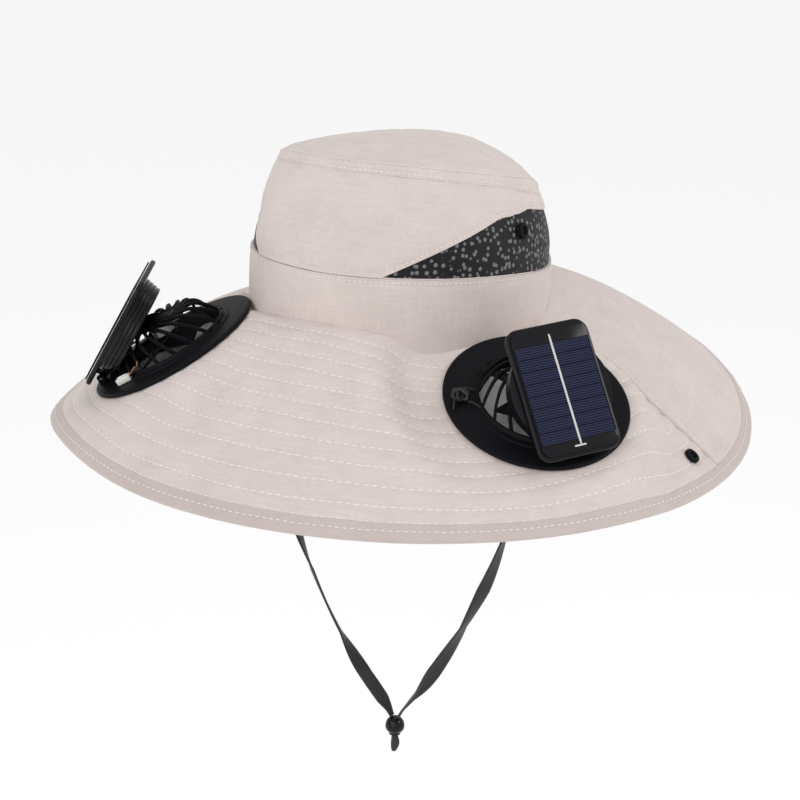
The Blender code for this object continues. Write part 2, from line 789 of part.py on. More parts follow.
def build_motor_and_rotor(side, seat, metal, plastic):
    ceiling = CAGE_HEIGHT - CAGE_WALL - SEAM_GAP
    floor = ceiling - MOTOR_LENGTH
    profile = [
        (0.0, ceiling),
        (MOTOR_RADIUS, ceiling),
        (MOTOR_RADIUS, floor),
        (SHAFT_RADIUS, floor),
        (SHAFT_RADIUS, floor - SHAFT_LENGTH),
        (0.0, floor - SHAFT_LENGTH),
    ]
    motor = put("fan_motor_" + side, profile_mesh("motor", profile), metal, seat)
    turn(motor, 16)

    hub_top = floor - BEARING_GAP
    bore = SHAFT_RADIUS + PIN_GAP
    bore_floor = floor - SHAFT_LENGTH - BEARING_GAP
    hub_floor = hub_top - ROTOR_HUB_HEIGHT
    profile = [
        (0.0, bore_floor),
        (bore, bore_floor),
        (bore, hub_top),
        (ROTOR_HUB_RADIUS * 0.8, hub_top),
        (ROTOR_HUB_RADIUS, hub_top - 0.0015),
        (ROTOR_HUB_RADIUS, hub_floor),
        (0.0, hub_floor),
    ]
    rotor = put("fan_rotor_" + side, profile_mesh("rotor", profile), plastic, seat)
    turn(rotor, 16)
    blade_length = ROTOR_RADIUS - ROTOR_HUB_RADIUS * 0.7
    pitch = Matrix.Rotation(math.radians(BLADE_PITCH), 4, "X")
    middle = (hub_top + hub_floor) / 2
    place = Matrix.Translation((ROTOR_HUB_RADIUS * 0.7 + blade_length / 2, 0, middle))
    for k in range(BLADES):
        around = Matrix.Rotation(2 * math.pi * k / BLADES, 4, "Z")
        size = (blade_length, BLADE_CHORD, BLADE_WALL)
        blade = put_cutter(f"blade_{k}_{side}", block("blade", size, (0, 0, 0), pitch), seat)
        blade.data.transform(around @ place)
        boolean(rotor, blade, "UNION")
    smooth(rotor)


def rounded_plate(name, length, width, wall, corner, centre):
    """A flat rounded rectangle: a 2D curve outline filled and extruded, made a mesh."""
    outline = bpy.data.curves.new(name, "CURVE")
    outline.dimensions = "2D"
    outline.fill_mode = "BOTH"
    outline.extrude = wall / 2
    line = outline.splines.new("POLY")
    spots = []
    for quarter in range(4):
        across = length / 2 - corner if quarter in (0, 3) else corner - length / 2
        deep = width / 2 - corner if quarter in (0, 1) else corner - width / 2
        for step in range(4):
            angle = math.pi / 2 * (quarter + step / 3)
            spots.append((across + corner * math.cos(angle), deep + corner * math.sin(angle)))
    line.points.add(len(spots) - 1)
    for point, (x, y) in zip(line.points, spots):
        point.co = (x, y, 0, 1)
    line.use_cyclic_u = True
    guide = bpy.data.objects.new(name, outline)
    CUTTERS.objects.link(guide)
    bpy.context.view_layer.update()
    graph = bpy.context.evaluated_depsgraph_get()
    mesh = bpy.data.meshes.new_from_object(guide.evaluated_get(graph))
    bpy.data.objects.remove(guide)
    mesh.materials.clear()
    shape = bmesh.new()
    shape.from_mesh(mesh)
    bmesh.ops.remove_doubles(shape, verts=shape.verts, dist=1e-6)
    bmesh.ops.recalc_face_normals(shape, faces=shape.faces)
    bmesh.ops.translate(shape, vec=centre, verts=shape.verts)
    shape.to_mesh(mesh)
    shape.free()
    return mesh


def build_lid(side, seat, angle, plastic, cell):
    """Cup, plate and hinge barrel in one, on an empty that lies on the hinge's axis."""
    hinge = bpy.data.objects.new("hinge_" + side, None)
    PARTS.objects.link(hinge)
    hinge.parent = seat
    # The lid's x axis points from the hinge towards the crown and its z axis away from the fan.
    steep = math.radians(angle)
    along = Vector((-math.cos(steep), 0, math.sin(steep)))
    out = Vector((math.sin(steep), 0, math.cos(steep)))
    opened = Matrix((along, out.cross(along), out)).transposed().to_4x4()
    hinge.matrix_local = Matrix.Translation((HINGE_OUT, 0, HINGE_HEIGHT)) @ opened

    middle = LID_LENGTH / 2 - LID_OVERHANG
    floor = LID_FACE - CUP_DEPTH
    inner = CUP_RADIUS - CUP_WALL
    ceiling = LID_FACE - LID_WALL
    profile = [
        (0.0, ceiling + LID_WALL / 2),
        (CUP_RADIUS, ceiling + LID_WALL / 2),
        (CUP_RADIUS, (ceiling + floor) / 2),
        (CUP_RADIUS - CUP_TAPER, (ceiling + floor) / 2 - 0.0005),
        (CUP_RADIUS - CUP_TAPER, floor),
        (inner - CUP_TAPER, floor),
        (inner - CUP_TAPER, ceiling),
        (0.0, ceiling),
    ]
    cup = profile_mesh("cup", [(radius, height) for radius, height in profile])
    lid = put("solar_lid_" + side, cup, plastic, hinge)
    lid.location = (middle, 0, 0)
    turn(lid, 24)
    back = Matrix.Translation((-middle, 0, 0))
    plate = rounded_plate(
        "plate", LID_LENGTH, LID_WIDTH, LID_WALL, LID_CORNER, (middle, 0, LID_FACE - LID_WALL / 2)
    )
    web_length = middle - CUP_RADIUS + CUP_WALL
    web = block(
        "web",
        (web_length, 1.8 * BARREL_HALF_WIDTH, ceiling + LID_WALL / 2 + BARREL_RADIUS * 0.5),
        (web_length / 2, 0, (ceiling + LID_WALL / 2 - BARREL_RADIUS * 0.5) / 2),
    )
    across = Matrix.Rotation(math.pi / 2, 4, "X")
    barrel = rod("barrel", BARREL_RADIUS, 2 * BARREL_HALF_WIDTH, across, 16)
    bore = rod("lid_bore", PIN_RADIUS + PIN_GAP, 4 * BARREL_HALF_WIDTH, across, 12)
    for mesh, operation in ((plate, "UNION"), (web, "UNION"), (barrel, "UNION"), (bore, "DIFFERENCE")):
        mesh.transform(back)
        tool = put_cutter(mesh.name + "_" + side, mesh, lid)
        boolean(lid, tool, operation)
    smooth(lid)

    face = rounded_plate(
        "cell",
        LID_LENGTH - 2 * CELL_MARGIN,
        LID_WIDTH - 2 * CELL_MARGIN,
        CELL_WALL,
        LID_CORNER - CELL_MARGIN,
        (middle, 0, LID_FACE + SEAM_GAP + CELL_WALL / 2),
    )
    panel = put("solar_cell_" + side, face, cell, hinge)
    smooth(panel)


def build_wires(side, seat, white, black):
    clear = FLANGE_WALL + SEAM_GAP
    centre = (PLUG_PLACE[0], PLUG_PLACE[1], clear + PLUG_SIZE[2] / 2)
    put("wire_plug_" + side, block("plug", PLUG_SIZE, centre), white, seat)
    if side != "left":
        return
    shape = bmesh.new()
    bmesh.ops.create_icosphere(shape, subdivisions=2, radius=1.0)
    bmesh.ops.scale(shape, vec=(0.0065, 0.0050, 0.0035), verts=shape.verts)
    bmesh.ops.translate(shape, vec=(*KNOT_PLACE, clear + 0.0035), verts=shape.verts)
    mesh = bpy.data.meshes.new("knot")
    shape.to_mesh(mesh)
    shape.free()
    put("wire_knot_" + side, mesh, black, seat)


KNOT_PLACE = (-0.012, -0.0430)


def smooth_route(points, count):
    """Points spread evenly by length along a smooth curve through the given ones."""
    given = np.array(points, float)
    ends = np.vstack([2 * given[0] - given[1], given, 2 * given[-1] - given[-2]])
    fine = []
    for k in range(1, len(ends) - 2):
        before, start, stop, after = ends[k - 1 : k + 3]
        for step in range(12):
            t = step / 12
            fine.append(
                0.5
                * (
                    2 * start
                    + (stop - before) * t
                    + (2 * before - 5 * start + 4 * stop - after) * t**2
                    + (3 * start - before - 3 * stop + after) * t**3
                )
            )
    fine.append(given[-1])
    fine = np.array(fine)
    length = np.concatenate([[0], np.cumsum(np.linalg.norm(np.diff(fine, axis=0), axis=1))])
    places = np.linspace(0, length[-1], count)
    return np.stack([np.interp(places, length, fine[:, axis]) for axis in range(3)], axis=1)


def build_strap(side, route, material):
    """One side of the flat chin strap: a rounded ribbon along its route, made a mesh."""
    curve = bpy.data.curves.new("chin_strap", "CURVE")
    curve.dimensions = "3D"
    curve.bevel_depth = STRAP_HALF_WALL
    curve.extrude = STRAP_HALF_WIDTH - STRAP_HALF_WALL
    curve.bevel_resolution = 0
    curve.use_fill_caps = True
    curve.twist_mode = "Z_UP"
    line = curve.splines.new("POLY")
    spots = smooth_route(route, STRAP_POINTS)
    line.points.add(len(spots) - 1)
    for point, spot in zip(line.points, spots):
        point.co = (*spot, 1)
        point.tilt = math.pi / 2
    guide = bpy.data.objects.new("strap_guide", curve)
    CUTTERS.objects.link(guide)
    bpy.context.view_layer.update()
    graph = bpy.context.evaluated_depsgraph_get()
    mesh = bpy.data.meshes.new_from_object(guide.evaluated_get(graph))
    bpy.data.objects.remove(guide)
    mesh.materials.clear()
    shape = bmesh.new()
    shape.from_mesh(mesh)
    bmesh.ops.remove_doubles(shape, verts=shape.verts, dist=1e-6)
    bmesh.ops.recalc_face_normals(shape, faces=shape.faces)
    shape.to_mesh(mesh)
    shape.free()
    part = put("chin_strap_" + side, mesh, material)
    smooth(part)


def build_lock(plastic, webbing):
    half = LOCK_HEIGHT / 2
    profile = [
        (0.0, half),
        (LOCK_RADIUS * 0.55, half),
        (LOCK_RADIUS * 0.9, half * 0.55),
        (LOCK_RADIUS, 0.0),
        (LOCK_RADIUS * 0.88, -half * 0.5),
        (LOCK_RADIUS * 0.62, -half * 0.75),
        (LOCK_RADIUS * 0.58, -half),
        (0.0, -half),
    ]
    lock = put("strap_lock", profile_mesh("lock", profile), plastic)
    lock.location = LOCK_CENTRE
    turn(lock, 14)
    smooth(lock)
    top = -half - SEAM_GAP
    profile = [
        (0.0, top),
        (TAIL_RADIUS * 0.7, top),
        (TAIL_RADIUS * 0.75, top - TAIL_LENGTH * 0.3),
        (TAIL_RADIUS, top - TAIL_LENGTH * 0.6),
        (TAIL_RADIUS * 0.8, top - TAIL_LENGTH * 0.9),
        (TAIL_RADIUS * 0.4, top - TAIL_LENGTH),
        (0.0, top - TAIL_LENGTH),
    ]
    tail = put("strap_end", profile_mesh("tail", profile), webbing)
    tail.location = LOCK_CENTRE
    turn(tail, 10)
    smooth(tail)


CLOTH = make_material("pale cloth", (0.66, 0.58, 0.55), 0.85)
EDGE = make_material("bound edge", (0.55, 0.47, 0.45), 0.80)
NET = make_material("black mesh", (0.03, 0.03, 0.035), 0.80)
GLOSS = make_material("gloss black", (0.015, 0.015, 0.018), 0.18)
CELL = make_material("solar cell", (0.03, 0.035, 0.11), 0.12)
STEEL = make_material("steel", (0.60, 0.60, 0.62), 0.30, 1.0)
WHITE = make_material("white plastic", (0.85, 0.84, 0.80), 0.40)
WEBBING = make_material("black webbing", (0.02, 0.02, 0.022), 0.70)


def build_fan(side):
    seat = bpy.data.objects.new("fan_" + side, None)
    PARTS.objects.link(seat)
    seat.matrix_world = SEATS[side]
    build_housing(side, seat, GLOSS)
    build_guard(side, seat, GLOSS)
    build_motor_and_rotor(side, seat, STEEL, GLOSS)
    build_lid(side, seat, FANS[side][-1], GLOSS, CELL)
    build_wires(side, seat, WHITE, WEBBING)


def main():
    build_crown(CLOTH, NET)
    build_band(CLOTH)
    build_brim(CLOTH, EDGE)
    build_snaps(GLOSS)
    for side in FANS:
        build_fan(side)
    build_strap("left", STRAP_LEFT, WEBBING)
    build_strap("right", STRAP_RIGHT, WEBBING)
    build_lock(GLOSS, WEBBING)
    bpy.context.view_layer.update()


main()
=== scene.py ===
import math
import random

import bmesh
import bpy
import numpy as np
from bpy.props import FloatProperty, FloatVectorProperty, IntProperty, PointerProperty
from mathutils import Matrix, Vector, noise


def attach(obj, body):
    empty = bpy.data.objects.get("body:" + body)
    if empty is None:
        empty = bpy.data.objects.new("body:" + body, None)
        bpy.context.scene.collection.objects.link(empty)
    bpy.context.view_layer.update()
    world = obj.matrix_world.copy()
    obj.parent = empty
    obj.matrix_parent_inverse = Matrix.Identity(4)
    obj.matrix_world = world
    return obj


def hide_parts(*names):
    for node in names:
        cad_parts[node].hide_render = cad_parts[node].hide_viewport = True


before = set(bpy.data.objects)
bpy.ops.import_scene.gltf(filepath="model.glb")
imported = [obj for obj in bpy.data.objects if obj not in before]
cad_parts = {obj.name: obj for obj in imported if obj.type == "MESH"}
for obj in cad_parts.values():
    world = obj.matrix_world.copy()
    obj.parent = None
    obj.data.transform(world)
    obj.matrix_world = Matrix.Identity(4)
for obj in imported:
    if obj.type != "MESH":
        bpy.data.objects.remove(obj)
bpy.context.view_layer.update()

bl_info = {
    "name": "Solar fan hat",
    "version": (1, 0, 0),
    "blender": (4, 5, 0),
    "location": "View3D > Sidebar > Fan Hat",
    "description": "Dresses the solar fan hat in quilted cloth, net, stitching, gloss plastic and webbing",
    "category": "Object",
}

# ---- The hat's form, as the CAD has it ----

HEAD_HALF_WIDTH = 0.0880
HEAD_HALF_LENGTH = 0.1002
BAND_WALL = 0.0018
CROWN_WALL = 0.0014
MESH_WALL = 0.0010
QUILT_WALL = 0.0030
FLAP_WALL = 0.0020
SEAM_GAP = 0.0003
BRIM_WIDTH = 0.125
BRIM_DROP = 0.080
BRIM_BULGE = 0.47
BAND_HEIGHT = 0.035
SIDE_HEIGHT = 0.055
TOP_HALF_WIDTH = 0.0749
TOP_HALF_LENGTH = 0.0881
TOP_SET_BACK = 0.006
DOME_HEIGHT = 0.020
SIDE_FULLNESS = 0.004
BRIM_SEAM_AZIMUTH = 92.0
BINDING_WIDTH = 0.0075
BINDING_WALL = 0.0040

FORM = [
    # azimuth, root lift, brim width, rim drop, band height, side height
    (0, 0.02, 0.91, 0.97, 0.84, 1.08),
    (30, -0.04, 0.945, 0.97, 0.96, 1.06),
    (60, -0.14, 0.985, 1.00, 1.11, 0.99),
    (90, -0.16, 1.005, 1.06, 0.99, 0.90),
    (120, -0.04, 1.08, 1.035, 0.62, 0.77),
    (150, 0.04, 1.18, 0.905, 0.60, 0.66),
    (180, 0.055, 1.21, 0.825, 0.62, 0.62),
]
ROOT_LIFT, WIDTH_SHARE, DROP_SHARE, BAND_SHARE, SIDE_SHARE = 1, 2, 3, 4, 5

CROWN_DENTS = [
    # azimuth, level, depth, spread in degrees, spread in levels
    (-52, 0.45, 0.9, 11, 0.28),
    (-30, 0.30, -0.5, 9, 0.30),
    (12, 1.45, 1.1, 30, 0.22),
    (150, 0.55, 1.2, 16, 0.35),
    (-150, 0.55, 1.2, 16, 0.35),
    (104, 0.95, -0.6, 18, 0.25),
]
BRIM_WAVES = [
    # azimuth, height, spread in degrees
    (-38, 0.05, 16),
    (-68, -0.04, 14),
    (150, 0.05, 18),
    (-150, 0.05, 18),
]

VENT_TIP = {"left": 23.0, "right": 35.0}
VENT_CORNER = 78.0
VENT_BACK = 150.0
VENT_TOP = 0.74
VENT_ROUNDING = 12.0

FLANGE_RADIUS = 0.0535
FLANGE_WALL = 0.0026
COLLAR_RADIUS = 0.0355
SHOULDER_RADIUS = 0.0315
SHOULDER_HEIGHT = 0.012
CAGE_HEIGHT = 0.0205
CAGE_WALL = 0.0018
SPIGOT_RADIUS = 0.0368
SEAT_HELD = 0.056
SEAT_CLEAR = 0.066
SEAT_FADE = 0.030

HINGE_OUT = 0.046
HINGE_HEIGHT = 0.0056
LID_LENGTH = 0.075
LID_WIDTH = 0.051
LID_WALL = 0.0032
LID_CORNER = 0.008
LID_FACE = 0.0076
LID_OVERHANG = 0.0035
CUP_RADIUS = 0.0305
CUP_DEPTH = 0.0133
CUP_WALL = 0.0018
CELL_WALL = 0.0010
CELL_MARGIN = 0.0022
BARREL_RADIUS = 0.0023
BARREL_HALF_WIDTH = 0.0076
LUG_WIDTH = 0.004

FANS = {
    # side: sign of x, azimuth, distance, height share of BRIM_DROP, slope, tilt, turn, lid angle
    "left": (1, 60.0, 0.143, -0.405, 24.5, 8.0, -5.0, 32.0),
    "right": (-1, 44.0, 0.143, -0.373, 29.7, -6.5, 21.0, 32.0),
}

# Each side of the wearer with the sign of its x
SIDES = (("left", 1), ("right", -1))

SNAP_RADIUS = 0.0048
SNAP_HEIGHT = 0.0028
BRIM_SNAP_AZIMUTH = 87.0
BRIM_SNAP_SHARE = 0.86
CROWN_SNAP_AZIMUTH = {"left": 80.0, "right": 90.0}
CROWN_SNAP_LEVEL = 0.48

STRAP_WIDTH = 0.009
STRAP_WALL = 0.0017
STRAP_LEFT = [
    (0.08645, 0.000, 0.006),
    (0.08645, 0.000, -0.012),
    (0.0862, 0.000, -0.040),
    (0.0860, 0.000, -0.075),
    (0.0845, 0.000, -0.110),
    (0.0795, 0.000, -0.146),
    (0.0700, 0.000, -0.180),
    (0.0570, 0.000, -0.212),
    (0.0430, 0.000, -0.241),
    (0.0280, 0.000, -0.268),
    (0.0120, 0.000, -0.292),
    (0.0075, 0.000, -0.3005),
]
STRAP_RIGHT = [
    (-0.08645, 0.000, 0.006),
    (-0.08645, 0.000, -0.012),
    (-0.0866, 0.000, -0.040),
    (-0.0870, 0.000, -0.075),
    (-0.0860, 0.000, -0.110),
    (-0.0820, 0.000, -0.146),
    (-0.0730, 0.000, -0.180),
    (-0.0590, 0.000, -0.212),
    (-0.0430, 0.000, -0.241),
    (-0.0240, 0.000, -0.268),
    (-0.0030, 0.000, -0.292),
    (0.0025, 0.000, -0.3005),
]
LOCK_CENTRE = (0.0050, 0.0, -0.3075)
LOCK_RADIUS = 0.0066
LOCK_HEIGHT = 0.0125
TAIL_LENGTH = 0.0135


def by_azimuth(column):
    """A smooth even function of the azimuth in degrees that passes through a column of FORM."""
    values = np.array([row[column] for row in FORM])
    last = len(values) - 1
    ends = np.ones(last + 1)
    ends[[0, -1]] = 0.5
    steps = np.arange(last + 1)
    waves = [2 / last * (ends * values * np.cos(np.pi * k * steps / last)).sum() * ends[k] for k in steps]

    def at(azimuth):
        angle = math.radians(azimuth)
        return float(sum(wave * math.cos(k * angle) for k, wave in enumerate(waves)))

    return at


root_share = by_azimuth(ROOT_LIFT)
width_share = by_azimuth(WIDTH_SHARE)
drop_share = by_azimuth(DROP_SHARE)
band_share = by_azimuth(BAND_SHARE)
side_share = by_azimuth(SIDE_SHARE)


def ease(value):
    value = min(1.0, max(0.0, value))
    return value * value * (3 - 2 * value)


def bell(distance, spread):
    return math.exp(-((distance / spread) ** 2))


def turn_between(first, second):
    return (first - second + 180) % 360 - 180


def round_turn(share):
    """The azimuth at a share of the way round, from the back over the front to the back."""
    return -180 + 360 * (share % 1.0)


def oval(azimuth, half_width, half_length, height, set_back=0.0):
    angle = math.radians(azimuth)
    return Vector((half_width * math.sin(angle), set_back - half_length * math.cos(angle), height))


def root_height(azimuth):
    return BRIM_DROP * root_share(azimuth)


def band_top(azimuth):
    return root_height(azimuth) + BAND_HEIGHT * band_share(azimuth)


def seam_height(azimuth):
    return band_top(azimuth) + SIDE_HEIGHT * side_share(azimuth)


def crown_dent(azimuth, level):
    return SIDE_FULLNESS * sum(
        depth * bell(turn_between(azimuth, at), wide) * bell(level - middle, tall)
        for at, middle, depth, wide, tall in CROWN_DENTS
    )


def side_point(azimuth, level, inset=0.0):
    full = SIDE_FULLNESS * math.sin(math.pi * level) - crown_dent(azimuth, level) - inset
    bottom_width = HEAD_HALF_WIDTH + CROWN_WALL
    bottom_length = HEAD_HALF_LENGTH + CROWN_WALL
    foot = band_top(azimuth) + 2 * SEAM_GAP
    return oval(
        azimuth,
        bottom_width + (TOP_HALF_WIDTH - bottom_width) * level + full,
        bottom_length + (TOP_HALF_LENGTH - bottom_length) * level + full,
        foot + (seam_height(azimuth) - foot) * level,
        TOP_SET_BACK * level,
    )


MEAN_SEAM = sum(seam_height(step * 30.0) for step in range(12)) / 12
DOME_FLATNESS = 2.5
DOME_FULLNESS = 3.0
TOP_LIFT = CROWN_WALL + SEAM_GAP


def dome_point(azimuth, share):
    height = MEAN_SEAM + (seam_height(azimuth) + TOP_LIFT - MEAN_SEAM) * share**DOME_FLATNESS
    height += DOME_HEIGHT * (1 - share**DOME_FULLNESS) - crown_dent(azimuth, 2 - share) * (share > 0)
    bulge = 0.35 * SIDE_FULLNESS * math.sin(math.pi * share**4) - crown_dent(azimuth, 2 - share) * share**6
    width, length = TOP_HALF_WIDTH * share + bulge, TOP_HALF_LENGTH * share + bulge
    return oval(azimuth, width, length, height, TOP_SET_BACK)


def fan_frame(side):
    """The matrix of a fan's seat: x out to the rim, y along the brim towards the back, z up."""
    sign, azimuth, distance, height, slope, tilt, turn, _ = FANS[side]
    angle = math.radians(azimuth) * sign
    away = Vector((math.sin(angle), -math.cos(angle), 0))
    steep = math.radians(slope)
    out = away * math.cos(steep) - Vector((0, 0, math.sin(steep)))
    up = away * math.sin(steep) + Vector((0, 0, math.cos(steep)))
    tilted = Matrix.Rotation(math.radians(tilt * sign), 3, out)
    turned_about = Matrix.Rotation(math.radians(turn * sign), 3, up)
    axes = Matrix((out, up.cross(out), up)).transposed()
    matrix = (tilted @ turned_about @ axes).to_4x4()
    matrix.translation = away * distance + Vector((0, 0, BRIM_DROP * height))
    return matrix


SEATS = {side: fan_frame(side) for side in FANS}
SEATS_BACK = {side: seat.inverted() for side, seat in SEATS.items()}


def lid_frame(side):
    """The matrix of a lid's hinge: x along the lid to the crown, y along the pin, z out of the panel."""
    steep = math.radians(FANS[side][-1])
    along = Vector((-math.cos(steep), 0, math.sin(steep)))
    out = Vector((math.sin(steep), 0, math.cos(steep)))
    opened = Matrix((along, out.cross(along), out)).transposed().to_4x4()
    return SEATS[side] @ Matrix.Translation((HINGE_OUT, 0, HINGE_HEIGHT)) @ opened


def brim_point(azimuth, share):
    width = BRIM_WIDTH * width_share(azimuth) * share + SEAM_GAP
    fall = BRIM_DROP * drop_share(azimuth) + root_height(azimuth)
    wave = sum(height * bell(turn_between(azimuth, at), wide) for at, height, wide in BRIM_WAVES)
    height = root_height(azimuth) - fall * (share - BRIM_BULGE * share * (1 - share))
    height += BRIM_DROP * wave * share**2
    spot = oval(azimuth, HEAD_HALF_WIDTH + BAND_WALL + width, HEAD_HALF_LENGTH + BAND_WALL + width, height)
    for side, seat in SEATS.items():
        local = SEATS_BACK[side] @ spot
        reach = math.hypot(local.x, local.y)
        if reach > SEAT_CLEAR + SEAT_FADE:
            continue
        held = ease(1 - (reach - SEAT_HELD) / SEAT_FADE) * ease(share / 0.04) * ease((1 - share) / 0.10)
        local.z += (-SEAM_GAP - local.z) * held
        if local.z > -SEAM_GAP:
            held = ease(1 - (reach - SEAT_CLEAR) / SEAT_FADE)
            local.z += (-SEAM_GAP - local.z) * held
        spot = seat @ local
    return spot


def brim_end(azimuth):
    return 1 - BINDING_WIDTH / (BRIM_WIDTH * width_share(azimuth))


def vent_top(side, azimuth):
    """The level of a vent's upper edge at an azimuth counted to its own side, 0 where it has none."""
    tip = VENT_TIP[side]
    rise = (azimuth - tip) / (VENT_CORNER - tip)
    blend = ease((azimuth - VENT_CORNER + VENT_ROUNDING) / (2 * VENT_ROUNDING))
    level = min(rise, 1.0) * (1 - 0.10 * math.sin(math.pi * blend)) if rise > 0 else 0.0
    return VENT_TOP * max(0.0, level) * (azimuth < VENT_BACK)


def signed_vent_top(azimuth):
    return vent_top("left" if azimuth > 0 else "right", abs(azimuth))


# ---- Sizes and colours that a user may change ----


def colour_setting(name, description, default):
    return FloatVectorProperty(
        name=name, description=description, subtype="COLOR", size=3, min=0, max=1, default=default
    )


def length_setting(name, description, default, low=-10.0):
    return FloatProperty(name=name, description=description, default=default, min=low, unit="LENGTH")


class HatClothSettings(bpy.types.PropertyGroup):
    cloth_colour: colour_setting("Cloth", "Colour of the brim, band and crown", (0.66, 0.575, 0.545))
    tape_colour: colour_setting("Edge tape", "Colour of the tape that binds the rim", (0.56, 0.475, 0.450))
    thread_colour: colour_setting("Thread", "Colour of the stitches", (0.84, 0.81, 0.78))
    row_pitch: length_setting("Row pitch", "Distance between two rows of quilting", 0.0093, 0.004)
    stitch_pitch: length_setting("Stitch pitch", "Distance from one stitch to the next", 0.0048, 0.002)
    groove: length_setting("Quilting depth", "How deep a row of stitches pulls the cloth in", 0.00080, 0)
    net_pitch: length_setting("Net pitch", "Distance between two holes of the net", 0.0036, 0.001)


class HatFanSettings(bpy.types.PropertyGroup):
    plastic_colour: colour_setting("Plastic", "Colour of the fans and lids", (0.007, 0.007, 0.009))
    ribs: IntProperty(name="Ribs", description="Number of ribs in a fan's cage", default=18, min=3)
    cell_bands: IntProperty(name="Bands", description="Bands of cells on a panel", default=8, min=1)


class HatStageSettings(bpy.types.PropertyGroup):
    azimuth: FloatProperty(
        name="Azimuth",
        description="Angle of the camera from the front, towards the wearer's left",
        default=math.radians(27.01),
        subtype="ANGLE",
    )
    elevation: FloatProperty(
        name="Elevation",
        description="Angle of the camera above the level",
        default=math.radians(19.13),
        subtype="ANGLE",
    )
    floor_height: length_setting("Floor", "Height of the floor under the hat", -0.95)


# ---- Making and finishing pieces ----

# Edges flatter than these, in degrees, stay sharp on a block and on a rounded slab
BEVEL_ANGLE = 30
SLAB_ANGLE = 50


def settings(name):
    return getattr(bpy.context.scene, name)


def clear_selection():
    if bpy.context.object and bpy.context.object.mode != "OBJECT":
        bpy.ops.object.mode_set(mode="OBJECT")
    bpy.ops.object.select_all(action="DESELECT")


def finish_piece(piece, material, body, replaced=(), angle=40):
    """Gives a piece its material, its body and the CAD nodes that it stands for."""
    piece.data.materials.clear()
    piece.data.materials.append(material)
    if angle is not None:
        clear_selection()
        bpy.context.view_layer.objects.active = piece
        piece.select_set(True)
        bpy.ops.object.shade_smooth_by_angle(angle=math.radians(angle))
    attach(piece, body)
    if replaced:
        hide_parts(*replaced)
    return piece


def apply_modifiers(piece):
    clear_selection()
    bpy.context.view_layer.objects.active = piece
    piece.select_set(True)
    for step in list(piece.modifiers):
        bpy.ops.object.modifier_apply(modifier=step.name)


def mend(piece, fill=False):
    """Turns a closed piece's faces outwards, after closing its open ends if asked."""
    shape = bmesh.new()
    shape.from_mesh(piece.data)
    if fill:
        bmesh.ops.holes_fill(shape, edges=[edge for edge in shape.edges if edge.is_boundary])
    bmesh.ops.recalc_face_normals(shape, faces=shape.faces)
    shape.to_mesh(piece.data)
    shape.free()


def soften(piece, width, segments, angle):
    """Rounds the edges of a piece that are sharper than an angle in degrees."""
    step = piece.modifiers.new("Round", "BEVEL")
    step.width = width
    step.segments = segments
    step.limit_method = "ANGLE"
    step.angle_limit = math.radians(angle)
    apply_modifiers(piece)


def grid(name, columns, rows, place, relief=None, wrap=False, wall=0.0, trim=None):
    """A flat grid whose squares are laid over a surface: place gives the point for (u, v), and relief the
    height above it. A wrapped grid is closed where u starts again, and a wall gives it thickness
    inwards."""
    clear_selection()
    bpy.ops.mesh.primitive_grid_add(x_subdivisions=columns, y_subdivisions=rows, size=2)
    piece = bpy.context.object
    piece.name = piece.data.name = name
    mesh = piece.data
    flat = np.zeros(len(mesh.vertices) * 3)
    mesh.vertices.foreach_get("co", flat)
    spread = (flat.reshape(-1, 3)[:, :2] + 1) / 2
    spots = np.array([place(u, v) for u, v in spread.tolist()])
    mesh.vertices.foreach_set("co", spots.ravel())
    mesh.update()
    if relief is not None:
        normals = np.zeros(len(spots) * 3)
        mesh.vertices.foreach_get("normal", normals)
        normals = normals.reshape(-1, 3)
        if wrap:
            edges = {}
            for index, (u, v) in enumerate(spread):
                if u < 1e-6 or u > 1 - 1e-6:
                    edges.setdefault(round(v, 6), []).append(index)
            for pair in edges.values():
                normals[pair] = normals[pair].mean(axis=0)
        heights = np.array([relief(u, v) for u, v in spread.tolist()])
        spots = spots + normals * heights[:, None]
        mesh.vertices.foreach_set("co", spots.ravel())
        mesh.update()
    if trim is not None or wrap:
        shape = bmesh.new()
        shape.from_mesh(mesh)
        if trim is not None:
            trim(shape)
        if wrap:
            bmesh.ops.remove_doubles(shape, verts=shape.verts, dist=1e-6)
        shape.to_mesh(mesh)
        shape.free()
    if wall:
        step = piece.modifiers.new("Wall", "SOLIDIFY")
        step.thickness = wall
        step.offset = -1
        step.use_even_offset = True
        apply_modifiers(piece)
    return piece


def turned(name, profile, steps, matrix=None):
    """A ring drawn out along a profile of (radius, height), and closed where it meets itself."""
    clear_selection()
    radius, height = profile[0]
    tiny = 1e-5
    bpy.ops.mesh.primitive_circle_add(vertices=steps, radius=max(radius, tiny), location=(0, 0, 0))
    piece = bpy.context.object
    piece.name = piece.data.name = name
    bpy.ops.object.mode_set(mode="EDIT")
    bpy.ops.mesh.select_all(action="SELECT")
    bpy.ops.transform.translate(value=(0, 0, height))
    for (before, low), (after, high) in zip(profile, profile[1:]):
        bpy.ops.mesh.extrude_region_move(TRANSFORM_OT_translate={"value": (0, 0, high - low)})
        share = max(after, tiny) / max(before, tiny)
        bpy.ops.transform.resize(value=(share, share, 1), center_override=(0, 0, high))
    bpy.ops.mesh.select_all(action="SELECT")
    bpy.ops.mesh.remove_doubles(threshold=3 * tiny)
    bpy.ops.mesh.select_all(action="SELECT")
    bpy.ops.mesh.normals_make_consistent(inside=False)
    bpy.ops.object.mode_set(mode="OBJECT")
    if matrix is not None:
        piece.data.transform(matrix)
    return piece


